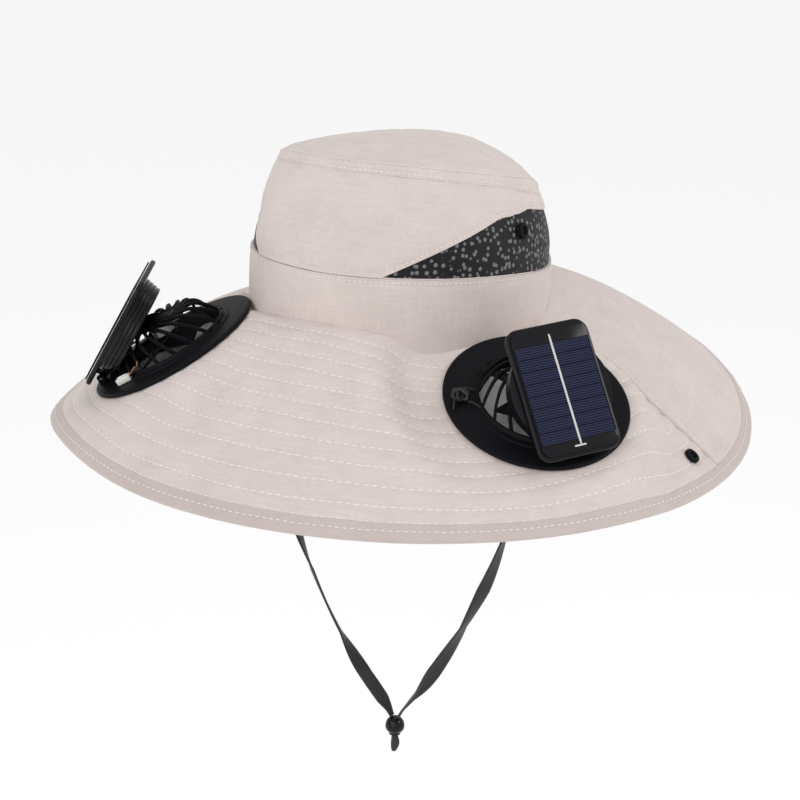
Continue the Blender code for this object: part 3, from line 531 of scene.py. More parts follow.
def cube(name, size, centre, bevel=0.0, segments=2):
    clear_selection()
    bpy.ops.mesh.primitive_cube_add(size=1)
    piece = bpy.context.object
    piece.name = piece.data.name = name
    piece.data.transform(Matrix.Translation(centre) @ Matrix.Diagonal((*size, 1)))
    if bevel:
        soften(piece, bevel, segments, BEVEL_ANGLE)
    return piece


def slab(name, size, corner, centre, edge, segments):
    """A flat block with rounded corners seen from above and softened edges."""
    piece = cube(name, size, (0, 0, 0))
    shape = bmesh.new()
    shape.from_mesh(piece.data)
    upright = [line for line in shape.edges if abs(line.verts[0].co.z - line.verts[1].co.z) > size[2] / 2]
    bmesh.ops.bevel(
        shape, geom=upright, offset=corner, segments=8, profile=0.5, affect="EDGES", clamp_overlap=True
    )
    shape.to_mesh(piece.data)
    shape.free()
    piece.data.transform(Matrix.Translation(centre))
    soften(piece, edge, segments, SLAB_ANGLE)
    return piece


def join(pieces, name):
    clear_selection()
    for piece in pieces:
        piece.select_set(True)
    bpy.context.view_layer.objects.active = pieces[0]
    bpy.ops.object.join()
    pieces[0].name = pieces[0].data.name = name
    return pieces[0]


def copies(name, model, matrices):
    """One mesh with a copy of the model at each matrix. The model is removed."""
    count = len(model.data.vertices)
    corners = np.array([vertex.co[:] + (1.0,) for vertex in model.data.vertices])
    faces = [tuple(face.vertices) for face in model.data.polygons]
    spots = np.concatenate([(corners @ np.array(matrix).T)[:, :3] for matrix in matrices])
    every = [tuple(index + k * count for index in face) for k in range(len(matrices)) for face in faces]
    mesh = bpy.data.meshes.new(name)
    mesh.from_pydata(spots.tolist(), [], every)
    mesh.update()
    bpy.data.objects.remove(model)
    piece = bpy.data.objects.new(name, mesh)
    bpy.context.scene.collection.objects.link(piece)
    return piece


def tube(name, spots, radius, sides=8, cyclic=False):
    """A round wire along points, as a closed mesh."""
    curve = bpy.data.curves.new(name, "CURVE")
    curve.dimensions = "3D"
    curve.bevel_depth = radius
    curve.bevel_resolution = max(0, sides // 2 - 2)
    curve.use_fill_caps = True
    line = curve.splines.new("POLY")
    line.points.add(len(spots) - 1)
    for point, spot in zip(line.points, spots):
        point.co = (*spot, 1)
    line.use_cyclic_u = cyclic
    guide = bpy.data.objects.new(name, curve)
    bpy.context.scene.collection.objects.link(guide)
    clear_selection()
    bpy.context.view_layer.objects.active = guide
    guide.select_set(True)
    bpy.ops.object.convert(target="MESH")
    piece = bpy.context.object
    piece.name = piece.data.name = name
    shape = bmesh.new()
    shape.from_mesh(piece.data)
    bmesh.ops.remove_doubles(shape, verts=shape.verts, dist=1e-7)
    bmesh.ops.recalc_face_normals(shape, faces=shape.faces)
    shape.to_mesh(piece.data)
    shape.free()
    return piece


def smooth_route(points, count):
    """Points spread evenly by length along a smooth curve through the given ones."""
    given = np.array(points, float)
    ends = np.vstack([2 * given[0] - given[1], given, 2 * given[-1] - given[-2]])
    fine = []
    for k in range(1, len(ends) - 2):
        before, start, stop, after = ends[k - 1 : k + 3]
        for step in range(12):
            t = step / 12
            fine.append(
                0.5
                * (
                    2 * start
                    + (stop - before) * t
                    + (2 * before - 5 * start + 4 * stop - after) * t**2
                    + (3 * start - before - 3 * stop + after) * t**3
                )
            )
    fine.append(given[-1])
    fine = np.array(fine)
    length = np.concatenate([[0], np.cumsum(np.linalg.norm(np.diff(fine, axis=0), axis=1))])
    places = np.linspace(0, length[-1], count)
    return np.stack([np.interp(places, length, fine[:, axis]) for axis in range(3)], axis=1)


# ---- Materials ----

# The weave: how far a thread is drawn out, the scale of the cloth's clouds, and a thread's height
THREAD_STRETCH = 0.12
CLOUD_SCALE = 45
THREAD_HEIGHT = 0.0003
GRAIN_SCALE = 1500
GRAIN_HEIGHT = 0.0001

# The panel: lines in a band of cells, the gaps beside a band and a line as shares of each, and the
# reach of the cells and of the pale strip from the middle as shares of the width
LINES_IN_BAND = 5.0
BAND_GAP = 0.07
LINE_GAP = 0.20
CELL_REACH = 0.485
STRIP_REACH = 0.013


def math_node(tree, operation, *values):
    """A Math node with each input set to a number or linked to a socket."""
    node = tree.nodes.new("ShaderNodeMath")
    node.operation = operation
    for socket, value in zip(node.inputs, values):
        if isinstance(value, (int, float)):
            socket.default_value = value
        else:
            tree.links.new(value, socket)
    return node.outputs[0]


def heather_group():
    """Uneven threads of a woven cloth: a shade that varies, and the height of the weave."""
    known = bpy.data.node_groups.get("heather")
    if known:
        return known
    group = bpy.data.node_groups.new("heather", "ShaderNodeTree")
    face = group.interface
    for label, kind, value in (
        ("Vector", "NodeSocketVector", None),
        ("Colour", "NodeSocketColor", (0.6, 0.6, 0.6, 1)),
        ("Thread scale", "NodeSocketFloat", 900.0),
        ("Shade", "NodeSocketFloat", 0.08),
    ):
        socket = face.new_socket(label, in_out="INPUT", socket_type=kind)
        if value is not None:
            socket.default_value = value
    face.new_socket("Colour", in_out="OUTPUT", socket_type="NodeSocketColor")
    face.new_socket("Height", in_out="OUTPUT", socket_type="NodeSocketFloat")
    nodes, links = group.nodes, group.links
    start, end = nodes.new("NodeGroupInput"), nodes.new("NodeGroupOutput")
    heights = []
    for stretch in ((1.0, 1.0, THREAD_STRETCH), (THREAD_STRETCH, THREAD_STRETCH, 1.0)):
        place = nodes.new("ShaderNodeMapping")
        place.inputs["Scale"].default_value = stretch
        links.new(start.outputs["Vector"], place.inputs["Vector"])
        threads = nodes.new("ShaderNodeTexNoise")
        threads.inputs["Detail"].default_value = 2
        links.new(place.outputs["Vector"], threads.inputs["Vector"])
        links.new(start.outputs["Thread scale"], threads.inputs["Scale"])
        heights.append(threads.outputs["Fac"])
    cloud = nodes.new("ShaderNodeTexNoise")
    cloud.inputs["Scale"].default_value = CLOUD_SCALE
    links.new(start.outputs["Vector"], cloud.inputs["Vector"])
    weave = math_node(group, "ADD", *heights)
    # Each noise is 0.5 on average, so the three together vary about 1.5
    uneven = math_node(group, "SUBTRACT", math_node(group, "ADD", weave, cloud.outputs["Fac"]), 1.5)
    factor = math_node(group, "MULTIPLY_ADD", uneven, start.outputs["Shade"], 1.0)
    tint = nodes.new("ShaderNodeVectorMath")
    tint.operation = "SCALE"
    links.new(start.outputs["Colour"], tint.inputs[0])
    links.new(factor, tint.inputs["Scale"])
    links.new(tint.outputs["Vector"], end.inputs["Colour"])
    links.new(weave, end.inputs["Height"])
    return group


def known_material(name):
    """The material of a name with its node tree and shader, and whether it had been made before."""
    known = bpy.data.materials.get(name)
    material = known or bpy.data.materials.new(name)
    material.use_nodes = True
    tree = material.node_tree
    return material, tree, tree.nodes["Principled BSDF"].inputs, known is not None


def add_bump(tree, height, strength, distance):
    relief = tree.nodes.new("ShaderNodeBump")
    relief.inputs["Strength"].default_value = strength
    relief.inputs["Distance"].default_value = distance
    tree.links.new(height, relief.inputs["Height"])
    tree.links.new(relief.outputs["Normal"], tree.nodes["Principled BSDF"].inputs["Normal"])


def mix_colours(tree, share, first, second):
    """The first colour where the share is 0 and the second where it is 1."""
    mix = tree.nodes.new("ShaderNodeMix")
    mix.data_type = "RGBA"
    tree.links.new(share, mix.inputs[0])
    for socket, colour in ((mix.inputs[6], first), (mix.inputs[7], second)):
        if isinstance(colour, tuple):
            socket.default_value = (*colour, 1)
        else:
            tree.links.new(colour, socket)
    return mix.outputs[2]


def cloth_material(name, colour, shade=0.10, threads=1100.0, bump=0.25, roughness=0.86):
    """A woven cloth, with its threads on Object coordinates."""
    material, tree, shader, made = known_material(name)
    if made:
        return material
    shader["Roughness"].default_value = roughness
    shader["Sheen Weight"].default_value = 0.15
    shader["Sheen Roughness"].default_value = 0.5
    where = tree.nodes.new("ShaderNodeTexCoord")
    weave = tree.nodes.new("ShaderNodeGroup")
    weave.node_tree = heather_group()
    weave.inputs["Colour"].default_value = (*colour, 1)
    weave.inputs["Thread scale"].default_value = threads
    weave.inputs["Shade"].default_value = shade
    tree.links.new(where.outputs["Object"], weave.inputs["Vector"])
    tree.links.new(weave.outputs["Colour"], shader["Base Color"])
    add_bump(tree, weave.outputs["Height"], bump, THREAD_HEIGHT)
    return material


def plain_material(name, colour, roughness, metallic=0.0, specular=0.5, grain=0.0):
    """One colour all over, with a fine speckled grain if asked."""
    material, tree, shader, made = known_material(name)
    if made:
        return material
    shader["Base Color"].default_value = (*colour, 1)
    shader["Roughness"].default_value = roughness
    shader["Metallic"].default_value = metallic
    shader["Specular IOR Level"].default_value = specular
    if grain:
        where = tree.nodes.new("ShaderNodeTexCoord")
        speckle = tree.nodes.new("ShaderNodeTexNoise")
        speckle.inputs["Scale"].default_value = GRAIN_SCALE
        tree.links.new(where.outputs["Object"], speckle.inputs["Vector"])
        add_bump(tree, speckle.outputs["Fac"], grain, GRAIN_HEIGHT)
    return material


def cloth():
    colour = settings("hat_cloth").cloth_colour
    return cloth_material("hat cloth", colour, shade=0.17, threads=800.0, bump=0.40)


def tape():
    return cloth_material("edge tape", settings("hat_cloth").tape_colour, shade=0.12)


def thread():
    return cloth_material("thread", settings("hat_cloth").thread_colour, shade=0.03, bump=0.0)


def gloss():
    return plain_material("gloss plastic", settings("hat_fan").plastic_colour, 0.12, specular=0.22)


def satin():
    colour = settings("hat_fan").plastic_colour
    return plain_material("satin plastic", colour, 0.45, specular=0.06, grain=0.15)


def cell_material():
    """Bands of fine blue lines on near black with a pale strip along the middle, on the UV map."""
    material, tree, shader, made = known_material("solar cell")
    if made:
        return material
    shader["Roughness"].default_value = 0.12
    shader["Specular IOR Level"].default_value = 0.12
    where = tree.nodes.new("ShaderNodeTexCoord")
    split = tree.nodes.new("ShaderNodeSeparateXYZ")
    tree.links.new(where.outputs["UV"], split.inputs[0])

    def calc(operation, *values):
        return math_node(tree, operation, *values)

    def from_middle(value):
        return calc("ABSOLUTE", calc("SUBTRACT", value, 0.5))

    def stripes(value, gap):
        """1 on a stripe and 0 in the gap at both ends of each whole step of the value."""
        return calc("GREATER_THAN", calc("PINGPONG", value, 0.5), gap)

    band = calc("FRACT", calc("MULTIPLY", split.outputs["X"], settings("hat_fan").cell_bands))
    line = calc("FRACT", calc("MULTIPLY", band, LINES_IN_BAND))
    across = from_middle(split.outputs["Y"])
    blue = calc("MULTIPLY", stripes(band, BAND_GAP), stripes(line, LINE_GAP))
    blue = calc("MULTIPLY", blue, calc("LESS_THAN", across, CELL_REACH))
    cells = mix_colours(tree, blue, (0.006, 0.006, 0.012), (0.028, 0.033, 0.074))
    strip = calc("LESS_THAN", across, STRIP_REACH)
    tree.links.new(mix_colours(tree, strip, cells, (0.55, 0.54, 0.52)), shader["Base Color"])
    return material


def net_material():
    """Black net on Object coordinates: round-cornered holes of uneven size that are not open but painted as
    grey dots of painted shade, for the shaded inside of the crown seen through them.
    """
    material, tree, shader, made = known_material("black net")
    if made:
        return material
    shader["Roughness"].default_value = 0.6
    shader["Specular IOR Level"].default_value = 0.3
    where = tree.nodes.new("ShaderNodeTexCoord")
    holes = tree.nodes.new("ShaderNodeTexVoronoi")
    holes.inputs["Scale"].default_value = 1 / settings("hat_cloth").net_pitch
    holes.inputs["Randomness"].default_value = 0.75
    tree.links.new(where.outputs["Object"], holes.inputs["Vector"])
    edge = tree.nodes.new("ShaderNodeMapRange")
    edge.inputs["From Min"].default_value = 0.30
    edge.inputs["From Max"].default_value = 0.40
    tree.links.new(holes.outputs["Distance"], edge.inputs["Value"])
    # The holes' grey is painted shade: it stands for the inside of the crown, in shadow, seen through the
    # net
    colour = mix_colours(tree, edge.outputs["Result"], (0.17, 0.17, 0.175), (0.006, 0.006, 0.007))
    tree.links.new(colour, shader["Base Color"])
    add_bump(tree, edge.outputs["Result"], 0.7, 0.0005)
    return material


# ---- Cloth pieces ----


# Rows of quilting in the front brim, and the share of a pitch from the tape to the first
QUILT_ROWS = 11
FIRST_ROW = 0.75


def row_distance(azimuth, row):
    """Distance of a quilting row from the rim, as it wanders."""
    wander = 0.0011 * noise.noise(Vector((azimuth * 0.045, row * 7.3, 1.7)))
    return plain_row_distance(row) + wander


def plain_row_distance(row):
    return BINDING_WIDTH + settings("hat_cloth").row_pitch * (row + FIRST_ROW)


def quilt_relief(azimuth, distance):
    """Height of the quilted cloth above its plain surface, at a distance from the rim."""
    sizes = settings("hat_cloth")
    row = round((distance - BINDING_WIDTH) / sizes.row_pitch - FIRST_ROW)
    height = 0.0
    for near in range(max(0, row - 1), min(QUILT_ROWS - 1, row + 1) + 1):
        away = distance - row_distance(azimuth, near)
        height -= sizes.groove * bell(away, 0.0016)
        pucker = noise.noise(Vector((azimuth * 0.75, near * 3.1, 0.0)))
        height += 0.35 * sizes.groove * pucker * bell(away, 0.0032)
    height += 0.0005 * noise.noise(Vector((azimuth * 0.07, distance * 30, 5.0)))
    return height


def cut_holes(shape):
    """Takes the cloth away under each fan and rounds the hole's edge."""
    for back in SEATS_BACK.values():
        inner = [
            face
            for face in shape.faces
            if math.hypot(*(back @ face.calc_center_median()).xy) < SPIGOT_RADIUS
            and abs((back @ face.calc_center_median()).z) < 0.02
        ]
        bmesh.ops.delete(shape, geom=inner, context="FACES")
    for side, back in SEATS_BACK.items():
        for vertex in shape.verts:
            if vertex.is_boundary:
                local = back @ vertex.co
                reach = math.hypot(local.x, local.y)
                if reach < SPIGOT_RADIUS * 1.12:
                    share = (SPIGOT_RADIUS + 0.0004) / reach
                    vertex.co = SEATS[side] @ Vector((local.x * share, local.y * share, local.z))


# No fan is further round from the front than this, in degrees
FANS_REACH = 95


def brim_cloth(name, first, last, columns, rows, wall, relief, trim, replaced):
    def place(u, v):
        azimuth = first + (last - first) * u
        share = brim_end(azimuth) * (1 - v)
        reach = HEAD_HALF_WIDTH + BRIM_WIDTH * share
        inset = math.degrees(SEAM_GAP / reach) * ((u < 1e-6) - (u > 1 - 1e-6))
        return brim_point(azimuth + inset, share)

    def height(u, v):
        azimuth = first + (last - first) * u
        share = brim_end(azimuth) * (1 - v)
        distance = (1 - share) * BRIM_WIDTH * width_share(azimuth)
        fade = ease(v / 0.05) * ease((1 - v) / 0.03)
        if abs(turn_between(azimuth, 0)) < FANS_REACH:
            spot = brim_point(azimuth, share)
            for back in SEATS_BACK.values():
                fade *= ease((math.hypot(*(back @ spot).xy) - FLANGE_RADIUS + 0.004) / 0.006)
        return relief(azimuth, distance) * fade

    piece = grid(name, columns, rows, place, height, wall=wall, trim=trim)
    return finish_piece(piece, cloth(), "hat", replaced)


def flap_relief(azimuth, distance):
    """The flap is plain, with faint rows beside the crown and soft uneven places."""
    height = 0.0009 * noise.noise(Vector((azimuth * 0.05, distance * 22, 9.0)))
    root = BRIM_WIDTH * width_share(azimuth) - distance
    for row in range(4):
        height -= 0.00030 * bell(root - 0.008 - 0.008 * row, 0.0014)
    return height


def make_brim():
    seam, front, back = BRIM_SEAM_AZIMUTH, "brim_cloth_front", "brim_cloth_back"
    brim_cloth(front, -seam, seam, 400, 84, QUILT_WALL, quilt_relief, cut_holes, ("brim_front",))
    brim_cloth(back, seam, 360 - seam, 200, 60, FLAP_WALL, flap_relief, None, ("brim_back",))


# How far the tape reaches over the cloth's edge, and the top's hem over the crown's side
TAPE_LAP = 0.0006
HEM = 0.0032
HEM_TURN = 0.0016


def tape_section(azimuth, turn):
    """A point of the folded tape round the rim: the turn goes once round its section."""
    share = brim_end(azimuth) - TAPE_LAP / (BRIM_WIDTH * width_share(azimuth))
    low, high = brim_point(azimuth, share), brim_point(azimuth, 1.0)
    along = brim_point(azimuth + 1, 1.0) - brim_point(azimuth - 1, 1.0)
    above = (high - low).cross(along).normalized()
    half = BINDING_WALL / 2
    angle = 2 * math.pi * turn
    # A rounded oblong: wide along the brim, thin across it, fuller at the rim
    reach = 0.5 + 0.5 * math.copysign(abs(math.cos(angle)) ** 0.35, math.cos(angle))
    lift = math.copysign(abs(math.sin(angle)) ** 0.55, math.sin(angle))
    middle = -QUILT_WALL / 2
    lumps = 0.00022 * noise.noise(Vector((azimuth * 0.6, turn * 3, 3.0)))
    lumps += 0.00035 * noise.noise(Vector((azimuth * 0.12, turn * 2, 8.0)))
    return low.lerp(high, reach) + above * (middle + lift * half * (0.92 + 0.08 * reach) + lumps)


def make_edge_tape():
    piece = grid("edge_tape", 540, 18, lambda u, v: tape_section(round_turn(u), v % 1.0), wrap=True)
    mend(piece)
    finish_piece(piece, tape(), "hat", ("brim_binding",))


def crown_columns(count):
    """Azimuths round the crown, with some moved to the vents' tips and back ends."""
    columns = [-180 + 360 * k / count for k in range(count + 1)]
    marks = [VENT_TIP["left"], -VENT_TIP["right"]]
    for sign in (1, -1):
        marks += [sign * (VENT_BACK - 0.05), sign * (VENT_BACK + 0.55)]
    for mark in marks:
        nearest = min(range(1, count), key=lambda k: abs(columns[k] - mark))
        columns[nearest] = mark
    return columns


def cloth_softness(azimuth, level):
    """Slight unevenness of the crown's cloth."""
    spot = Vector((math.sin(math.radians(azimuth)) * 3, -math.cos(math.radians(azimuth)) * 3, level * 2))
    return 0.0007 * noise.noise(spot) + 0.0003 * noise.noise(spot * 3.1)


def edge_fold(distance, inset):
    """A groove where a row of stitches holds a folded edge, at a distance from that edge."""
    return -0.0004 * bell(distance - inset, 0.0008)


# Half the width and the height of the folded edge along each brim seam
FOLD_WIDTH = 0.0021
FOLD_HEIGHT = 0.0018

# Distance of a row of stitches from a folded edge
EDGE_ROW = 0.0022

# Distances of the stitch rows from the top's seam, up the dome and down the side
TOP_ROWS = (0.0026, -0.0018)


def top_point(azimuth, distance):
    """The top cloth at a distance from its seam: the dome, or below the seam the hem over the side."""
    if distance >= 0:
        return dome_point(azimuth, 1 - distance / TOP_HALF_WIDTH)
    tall = seam_height(azimuth) - band_top(azimuth)
    hem = side_point(azimuth, 1 + distance / tall, inset=-0.0005)
    rim = dome_point(azimuth, 1.0)
    return rim.lerp(hem, ease(-distance / HEM_TURN)) if distance > -HEM_TURN else hem


def make_crown():
    columns = crown_columns(360)
    hem_share = 0.08

    def side_place(u, v):
        azimuth = columns[round(u * 360)]
        start = signed_vent_top(azimuth)
        return side_point(azimuth, start + (1 - start) * v)

    def side_relief(u, v):
        azimuth = columns[round(u * 360)]
        start = signed_vent_top(azimuth)
        tall = seam_height(azimuth) - band_top(azimuth)
        level = start + (1 - start) * v
        height = cloth_softness(azimuth, level) * ease(v / 0.1)
        height += edge_fold((level - start) * tall, 0.0024)
        return height

    side = grid("crown_cloth_side", 360, 44, side_place, side_relief, wrap=True, wall=CROWN_WALL)
    finish_piece(side, cloth(), "hat", ("crown_side",))

    def from_seam(v):
        if v < hem_share:
            return HEM * (v / hem_share - 1)
        return TOP_HALF_WIDTH * (v - hem_share) / (1 - hem_share)

    def top_place(u, v):
        return top_point(round_turn(u), from_seam(v))

    def top_relief(u, v):
        azimuth = round_turn(u)
        distance = from_seam(v)
        height = cloth_softness(azimuth, 2 + v * 3) * (1 - v) ** 0.5 * 1.3 * ease(distance / 0.01)
        pucker = noise.noise(Vector((azimuth * 0.55, distance * 90, 4.0)))
        height += 0.0005 * pucker * bell(distance, 0.004) * ease((distance + HEM) / HEM)
        for row in TOP_ROWS:
            height -= 0.0005 * bell(distance - row, 0.0007)
        return height

    top = grid("crown_cloth_top", 360, 84, top_place, top_relief, wrap=True, wall=CROWN_WALL)
    finish_piece(top, cloth(), "hat", ("crown_top",))

    def band_place(u, v):
        azimuth = round_turn(u)
        high = band_top(azimuth)
        low = min(root_height(azimuth) - QUILT_WALL / 2, brim_point(azimuth, 0.0).z - QUILT_WALL)
        height = low + (high - low) * v
        return oval(azimuth, HEAD_HALF_WIDTH + BAND_WALL, HEAD_HALF_LENGTH + BAND_WALL, height)

    def band_relief(u, v):
        azimuth = round_turn(u)
        angle = math.radians(azimuth)
        tall = band_top(azimuth) - root_height(azimuth)
        spot = Vector((math.sin(angle) * 4, math.cos(angle) * 4, v * 1.3))
        height = 0.0007 * noise.noise(spot) * math.sin(math.pi * v)
        height += 0.0006 * math.sin(math.pi * v)
        return height + edge_fold((1 - v) * tall, EDGE_ROW)

    band = grid("band_cloth", 300, 28, band_place, band_relief, wrap=True, wall=BAND_WALL)
    finish_piece(band, cloth(), "hat", ("hat_band",))


def make_nets():
    """Each vent's net, laid inside the window of the crown's side."""
    for side, sign in SIDES:
        first, last = VENT_TIP[side] - 1.5, VENT_BACK + 1.0

        def place(u, v, side=side, sign=sign, first=first, last=last):
            azimuth = first + (last - first) * u
            clear = 0.0030 / (SIDE_HEIGHT * side_share(azimuth))
            level = -0.0015 + (vent_top(side, min(azimuth, VENT_BACK - 0.1)) + clear) * v
            wave = 0.0003 * noise.noise(Vector((azimuth * 0.25, v * 5, 2.0 + sign)))
            return side_point(sign * azimuth, max(0.0, level), inset=CROWN_WALL - 0.0003 + wave)

        piece = grid("net_" + side, 150, 14, place)
        if sign < 0:
            piece.data.flip_normals()
        step = piece.modifiers.new("Wall", "SOLIDIFY")
        step.thickness = MESH_WALL * 0.6
        step.offset = -1
        apply_modifiers(piece)
        finish_piece(piece, net_material(), "hat", ("mesh_" + side,))


# ---- Stitching ----


def stitch_model():
    """One stitch, a short flattened grain that lies along x with z up."""
    clear_selection()
    bpy.ops.mesh.primitive_uv_sphere_add(segments=6, ring_count=4, radius=1)
    piece = bpy.context.object
    piece.data.transform(Matrix.Rotation(math.pi / 2, 4, "Y"))
    return piece


def stitch_matrices(spots, ups, pitch, length=0.74, width=0.00038, jitter=0.00018):
    """Places a stitch at every pitch along a line of points with their surface directions."""
    spots, ups = np.array(spots), np.array(ups)
    reach = np.concatenate([[0], np.cumsum(np.linalg.norm(np.diff(spots, axis=0), axis=1))])
    matrices = []
    for middle in np.arange(pitch / 2, reach[-1] - pitch / 2, pitch):
        ends = []
        for place in (middle - pitch * length / 2, middle + pitch * length / 2):
            ends.append(Vector([np.interp(place, reach, spots[:, axis]) for axis in range(3)]))
        up = Vector([np.interp(middle, reach, ups[:, axis]) for axis in range(3)]).normalized()
        along = (ends[1] - ends[0]).normalized()
        across = up.cross(along).normalized()
        up = along.cross(across)
        centre = (ends[0] + ends[1]) / 2 + across * random.uniform(-jitter, jitter)
        matrix = Matrix((along, across, up)).transposed().to_4x4()
        matrix.translation = centre + up * width * 0.35
        half = (ends[1] - ends[0]).length / 2
        matrices.append(matrix @ Matrix.Diagonal((half, width, width * 0.8, 1)))
    return matrices


def surface_row(point, first, last, steps, height=None):
    """Points and outward directions along a row on a surface given as point(azimuth, offset)."""
    spots, ups = [], []
    for k in range(steps + 1):
        azimuth = first + (last - first) * k / steps
        here = point(azimuth, 0.0)
        along = point(azimuth + 0.4, 0.0) - point(azimuth - 0.4, 0.0)
        across = point(azimuth, 0.0004) - point(azimuth, -0.0004)
        up = along.cross(across).normalized()
        lift = height(azimuth) if height else 0.0
        spots.append(here + up * lift)
        ups.append(up)
    return spots, ups


def make_brim_stitching():
    sizes = settings("hat_cloth")
    random.seed(11)
    matrices = []
    last = BRIM_SEAM_AZIMUTH - 1.2
    first, steps = -last, 260

    def share_at(azimuth, distance):
        return 1 - distance / (BRIM_WIDTH * width_share(azimuth))

    for row in range(QUILT_ROWS):

        def point(azimuth, offset, row=row):
            return brim_point(azimuth, share_at(azimuth, row_distance(azimuth, row) + offset))

        def height(azimuth, row=row):
            return quilt_relief(azimuth, row_distance(azimuth, row))

        spots, ups = surface_row(point, first, last, steps, height)
        ups = [up if up.z > 0 else -up for up in ups]
        turns = [first + (last - first) * k / steps for k in range(steps + 1)]
        root = [share_at(turn, plain_row_distance(row)) for turn in turns]
        run_spots, run_ups = [], []
        for spot, up, share in zip(spots, ups, root):
            to_fans = [math.hypot(*(back @ spot).xy) for back in SEATS_BACK.values()]
            clear = min(to_fans) > FLANGE_RADIUS - 0.002
            if clear and share > 0.03:
                run_spots.append(spot)
                run_ups.append(up)
            else:
                if len(run_spots) > 3:
                    matrices += stitch_matrices(run_spots, run_ups, sizes.stitch_pitch)
                run_spots, run_ups = [], []
        if len(run_spots) > 3:
            matrices += stitch_matrices(run_spots, run_ups, sizes.stitch_pitch)
    piece = copies("brim_stitches", stitch_model(), matrices)
    finish_piece(piece, thread(), "hat")


def make_seam_stitching():
    """Stitches beside the crown's seams, the vents and the rim's tape."""
    random.seed(12)
    matrices = []
    fine = 0.0031

    def row(point, first, last, steps=300, pitch=fine, up_sign=1):
        spots, ups = surface_row(point, first, last, steps)
        ups = [up * up_sign for up in ups]
        return stitch_matrices(spots, ups, pitch, 0.68, 0.00032, 0.00008)

    for distance in TOP_ROWS:
        matrices += row(lambda a, o, distance=distance: top_point(a, distance + o), -180, 180)

    def band_point(azimuth, offset):
        spot = oval(azimuth, HEAD_HALF_WIDTH + BAND_WALL, HEAD_HALF_LENGTH + BAND_WALL, 0)
        spot.z = band_top(azimuth) - EDGE_ROW + offset
        return spot

    matrices += row(band_point, -180, 180)
    for side, sign in SIDES:

        def vent_edge(azimuth, offset, side=side, sign=sign):
            tall = seam_height(azimuth) - band_top(azimuth)
            return side_point(sign * azimuth, vent_top(side, azimuth) + (EDGE_ROW + offset) / tall)

        matrices += row(vent_edge, VENT_TIP[side] + 1, VENT_BACK - 1, 160, fine, sign)
    piece = copies("seam_stitches", stitch_model(), matrices)
    finish_piece(piece, thread(), "hat")

    matrices = []
    for turn in (0.25, 0.42):
        spots, ups = [], []
        for k in range(721):
            azimuth = -180 + 360 * k / 720
            here = tape_section(azimuth, turn)
            across = tape_section(azimuth, turn + 0.02) - tape_section(azimuth, turn - 0.02)
            up = across.cross(tape_section(azimuth + 0.5, turn) - here)
            up = (up if up.z > 0 else -up).normalized()
            spots.append(here + up * 0.00005)
            ups.append(up)
        matrices += stitch_matrices(spots, ups, 0.0040, 0.68, 0.00034, 0.00012)
    piece = copies("tape_stitches", stitch_model(), matrices)
    finish_piece(piece, thread(), "hat")


def make_brim_seams():
    """A folded edge where the flap is sewn over the quilted brim on each side, with its stitches."""
    folds, spots, ups = [], [], []
    for sign in (1, -1):
        azimuth = sign * BRIM_SEAM_AZIMUTH
        last = brim_end(BRIM_SEAM_AZIMUTH) - 0.002

        def seam_frame(share, azimuth=azimuth):
            here = brim_point(azimuth, share)
            across = (brim_point(azimuth + 0.6, share) - brim_point(azimuth - 0.6, share)).normalized()
            up = across.cross(brim_point(azimuth, share + 0.01) - here).normalized()
            return here, across, up if up.z > 0 else -up

        def fold_place(u, v, last=last, seam_frame=seam_frame):
            here, across, up = seam_frame(0.02 + (last - 0.02) * v)
            angle = 2 * math.pi * (u % 1.0)
            ripple = 1 + 0.10 * noise.noise(Vector((v * 40, azimuth, 0)))
            out = across * math.cos(angle) * FOLD_WIDTH * ripple
            return here + out + up * math.sin(angle) * FOLD_HEIGHT

        folds.append(grid("fold", 16, 120, fold_place, wrap=True))
        row = [seam_frame(0.04 + (last - 0.05) * k / 120) for k in range(121)]
        spots.append([here + up * (FOLD_HEIGHT - 0.0001) for here, across, up in row])
        ups.append([up for here, across, up in row])
    piece = join(folds, "brim_seam_folds")
    mend(piece, fill=True)
    finish_piece(piece, cloth(), "hat")
    matrices = []
    for line, normals in zip(spots, ups):
        matrices += stitch_matrices(line, normals, 0.0034, 0.66, 0.00030, 0.00010)
    whole = copies("brim_seam_stitches", stitch_model(), matrices)
    finish_piece(whole, thread(), "hat")


# ---- Snaps ----


def surface_frame(point, up):
    matrix = up.to_track_quat("Z", "Y").to_matrix().to_4x4()
    matrix.translation = point
    return matrix


def snap_profile():
    radius, height = SNAP_RADIUS, SNAP_HEIGHT * 0.75
    return [
        (0, height * 0.62),
        (radius * 0.20, height * 0.60),
        (radius * 0.30, height * 0.38),
        (radius * 0.46, height * 0.36),
        (radius * 0.55, height * 0.92),
        (radius * 0.64, height),
        (radius * 0.84, height),
        (radius * 0.96, height * 0.85),
        (radius, height * 0.5),
        (radius, height * 0.05),
        (radius * 0.95, 0),
        (0, 0),
    ]


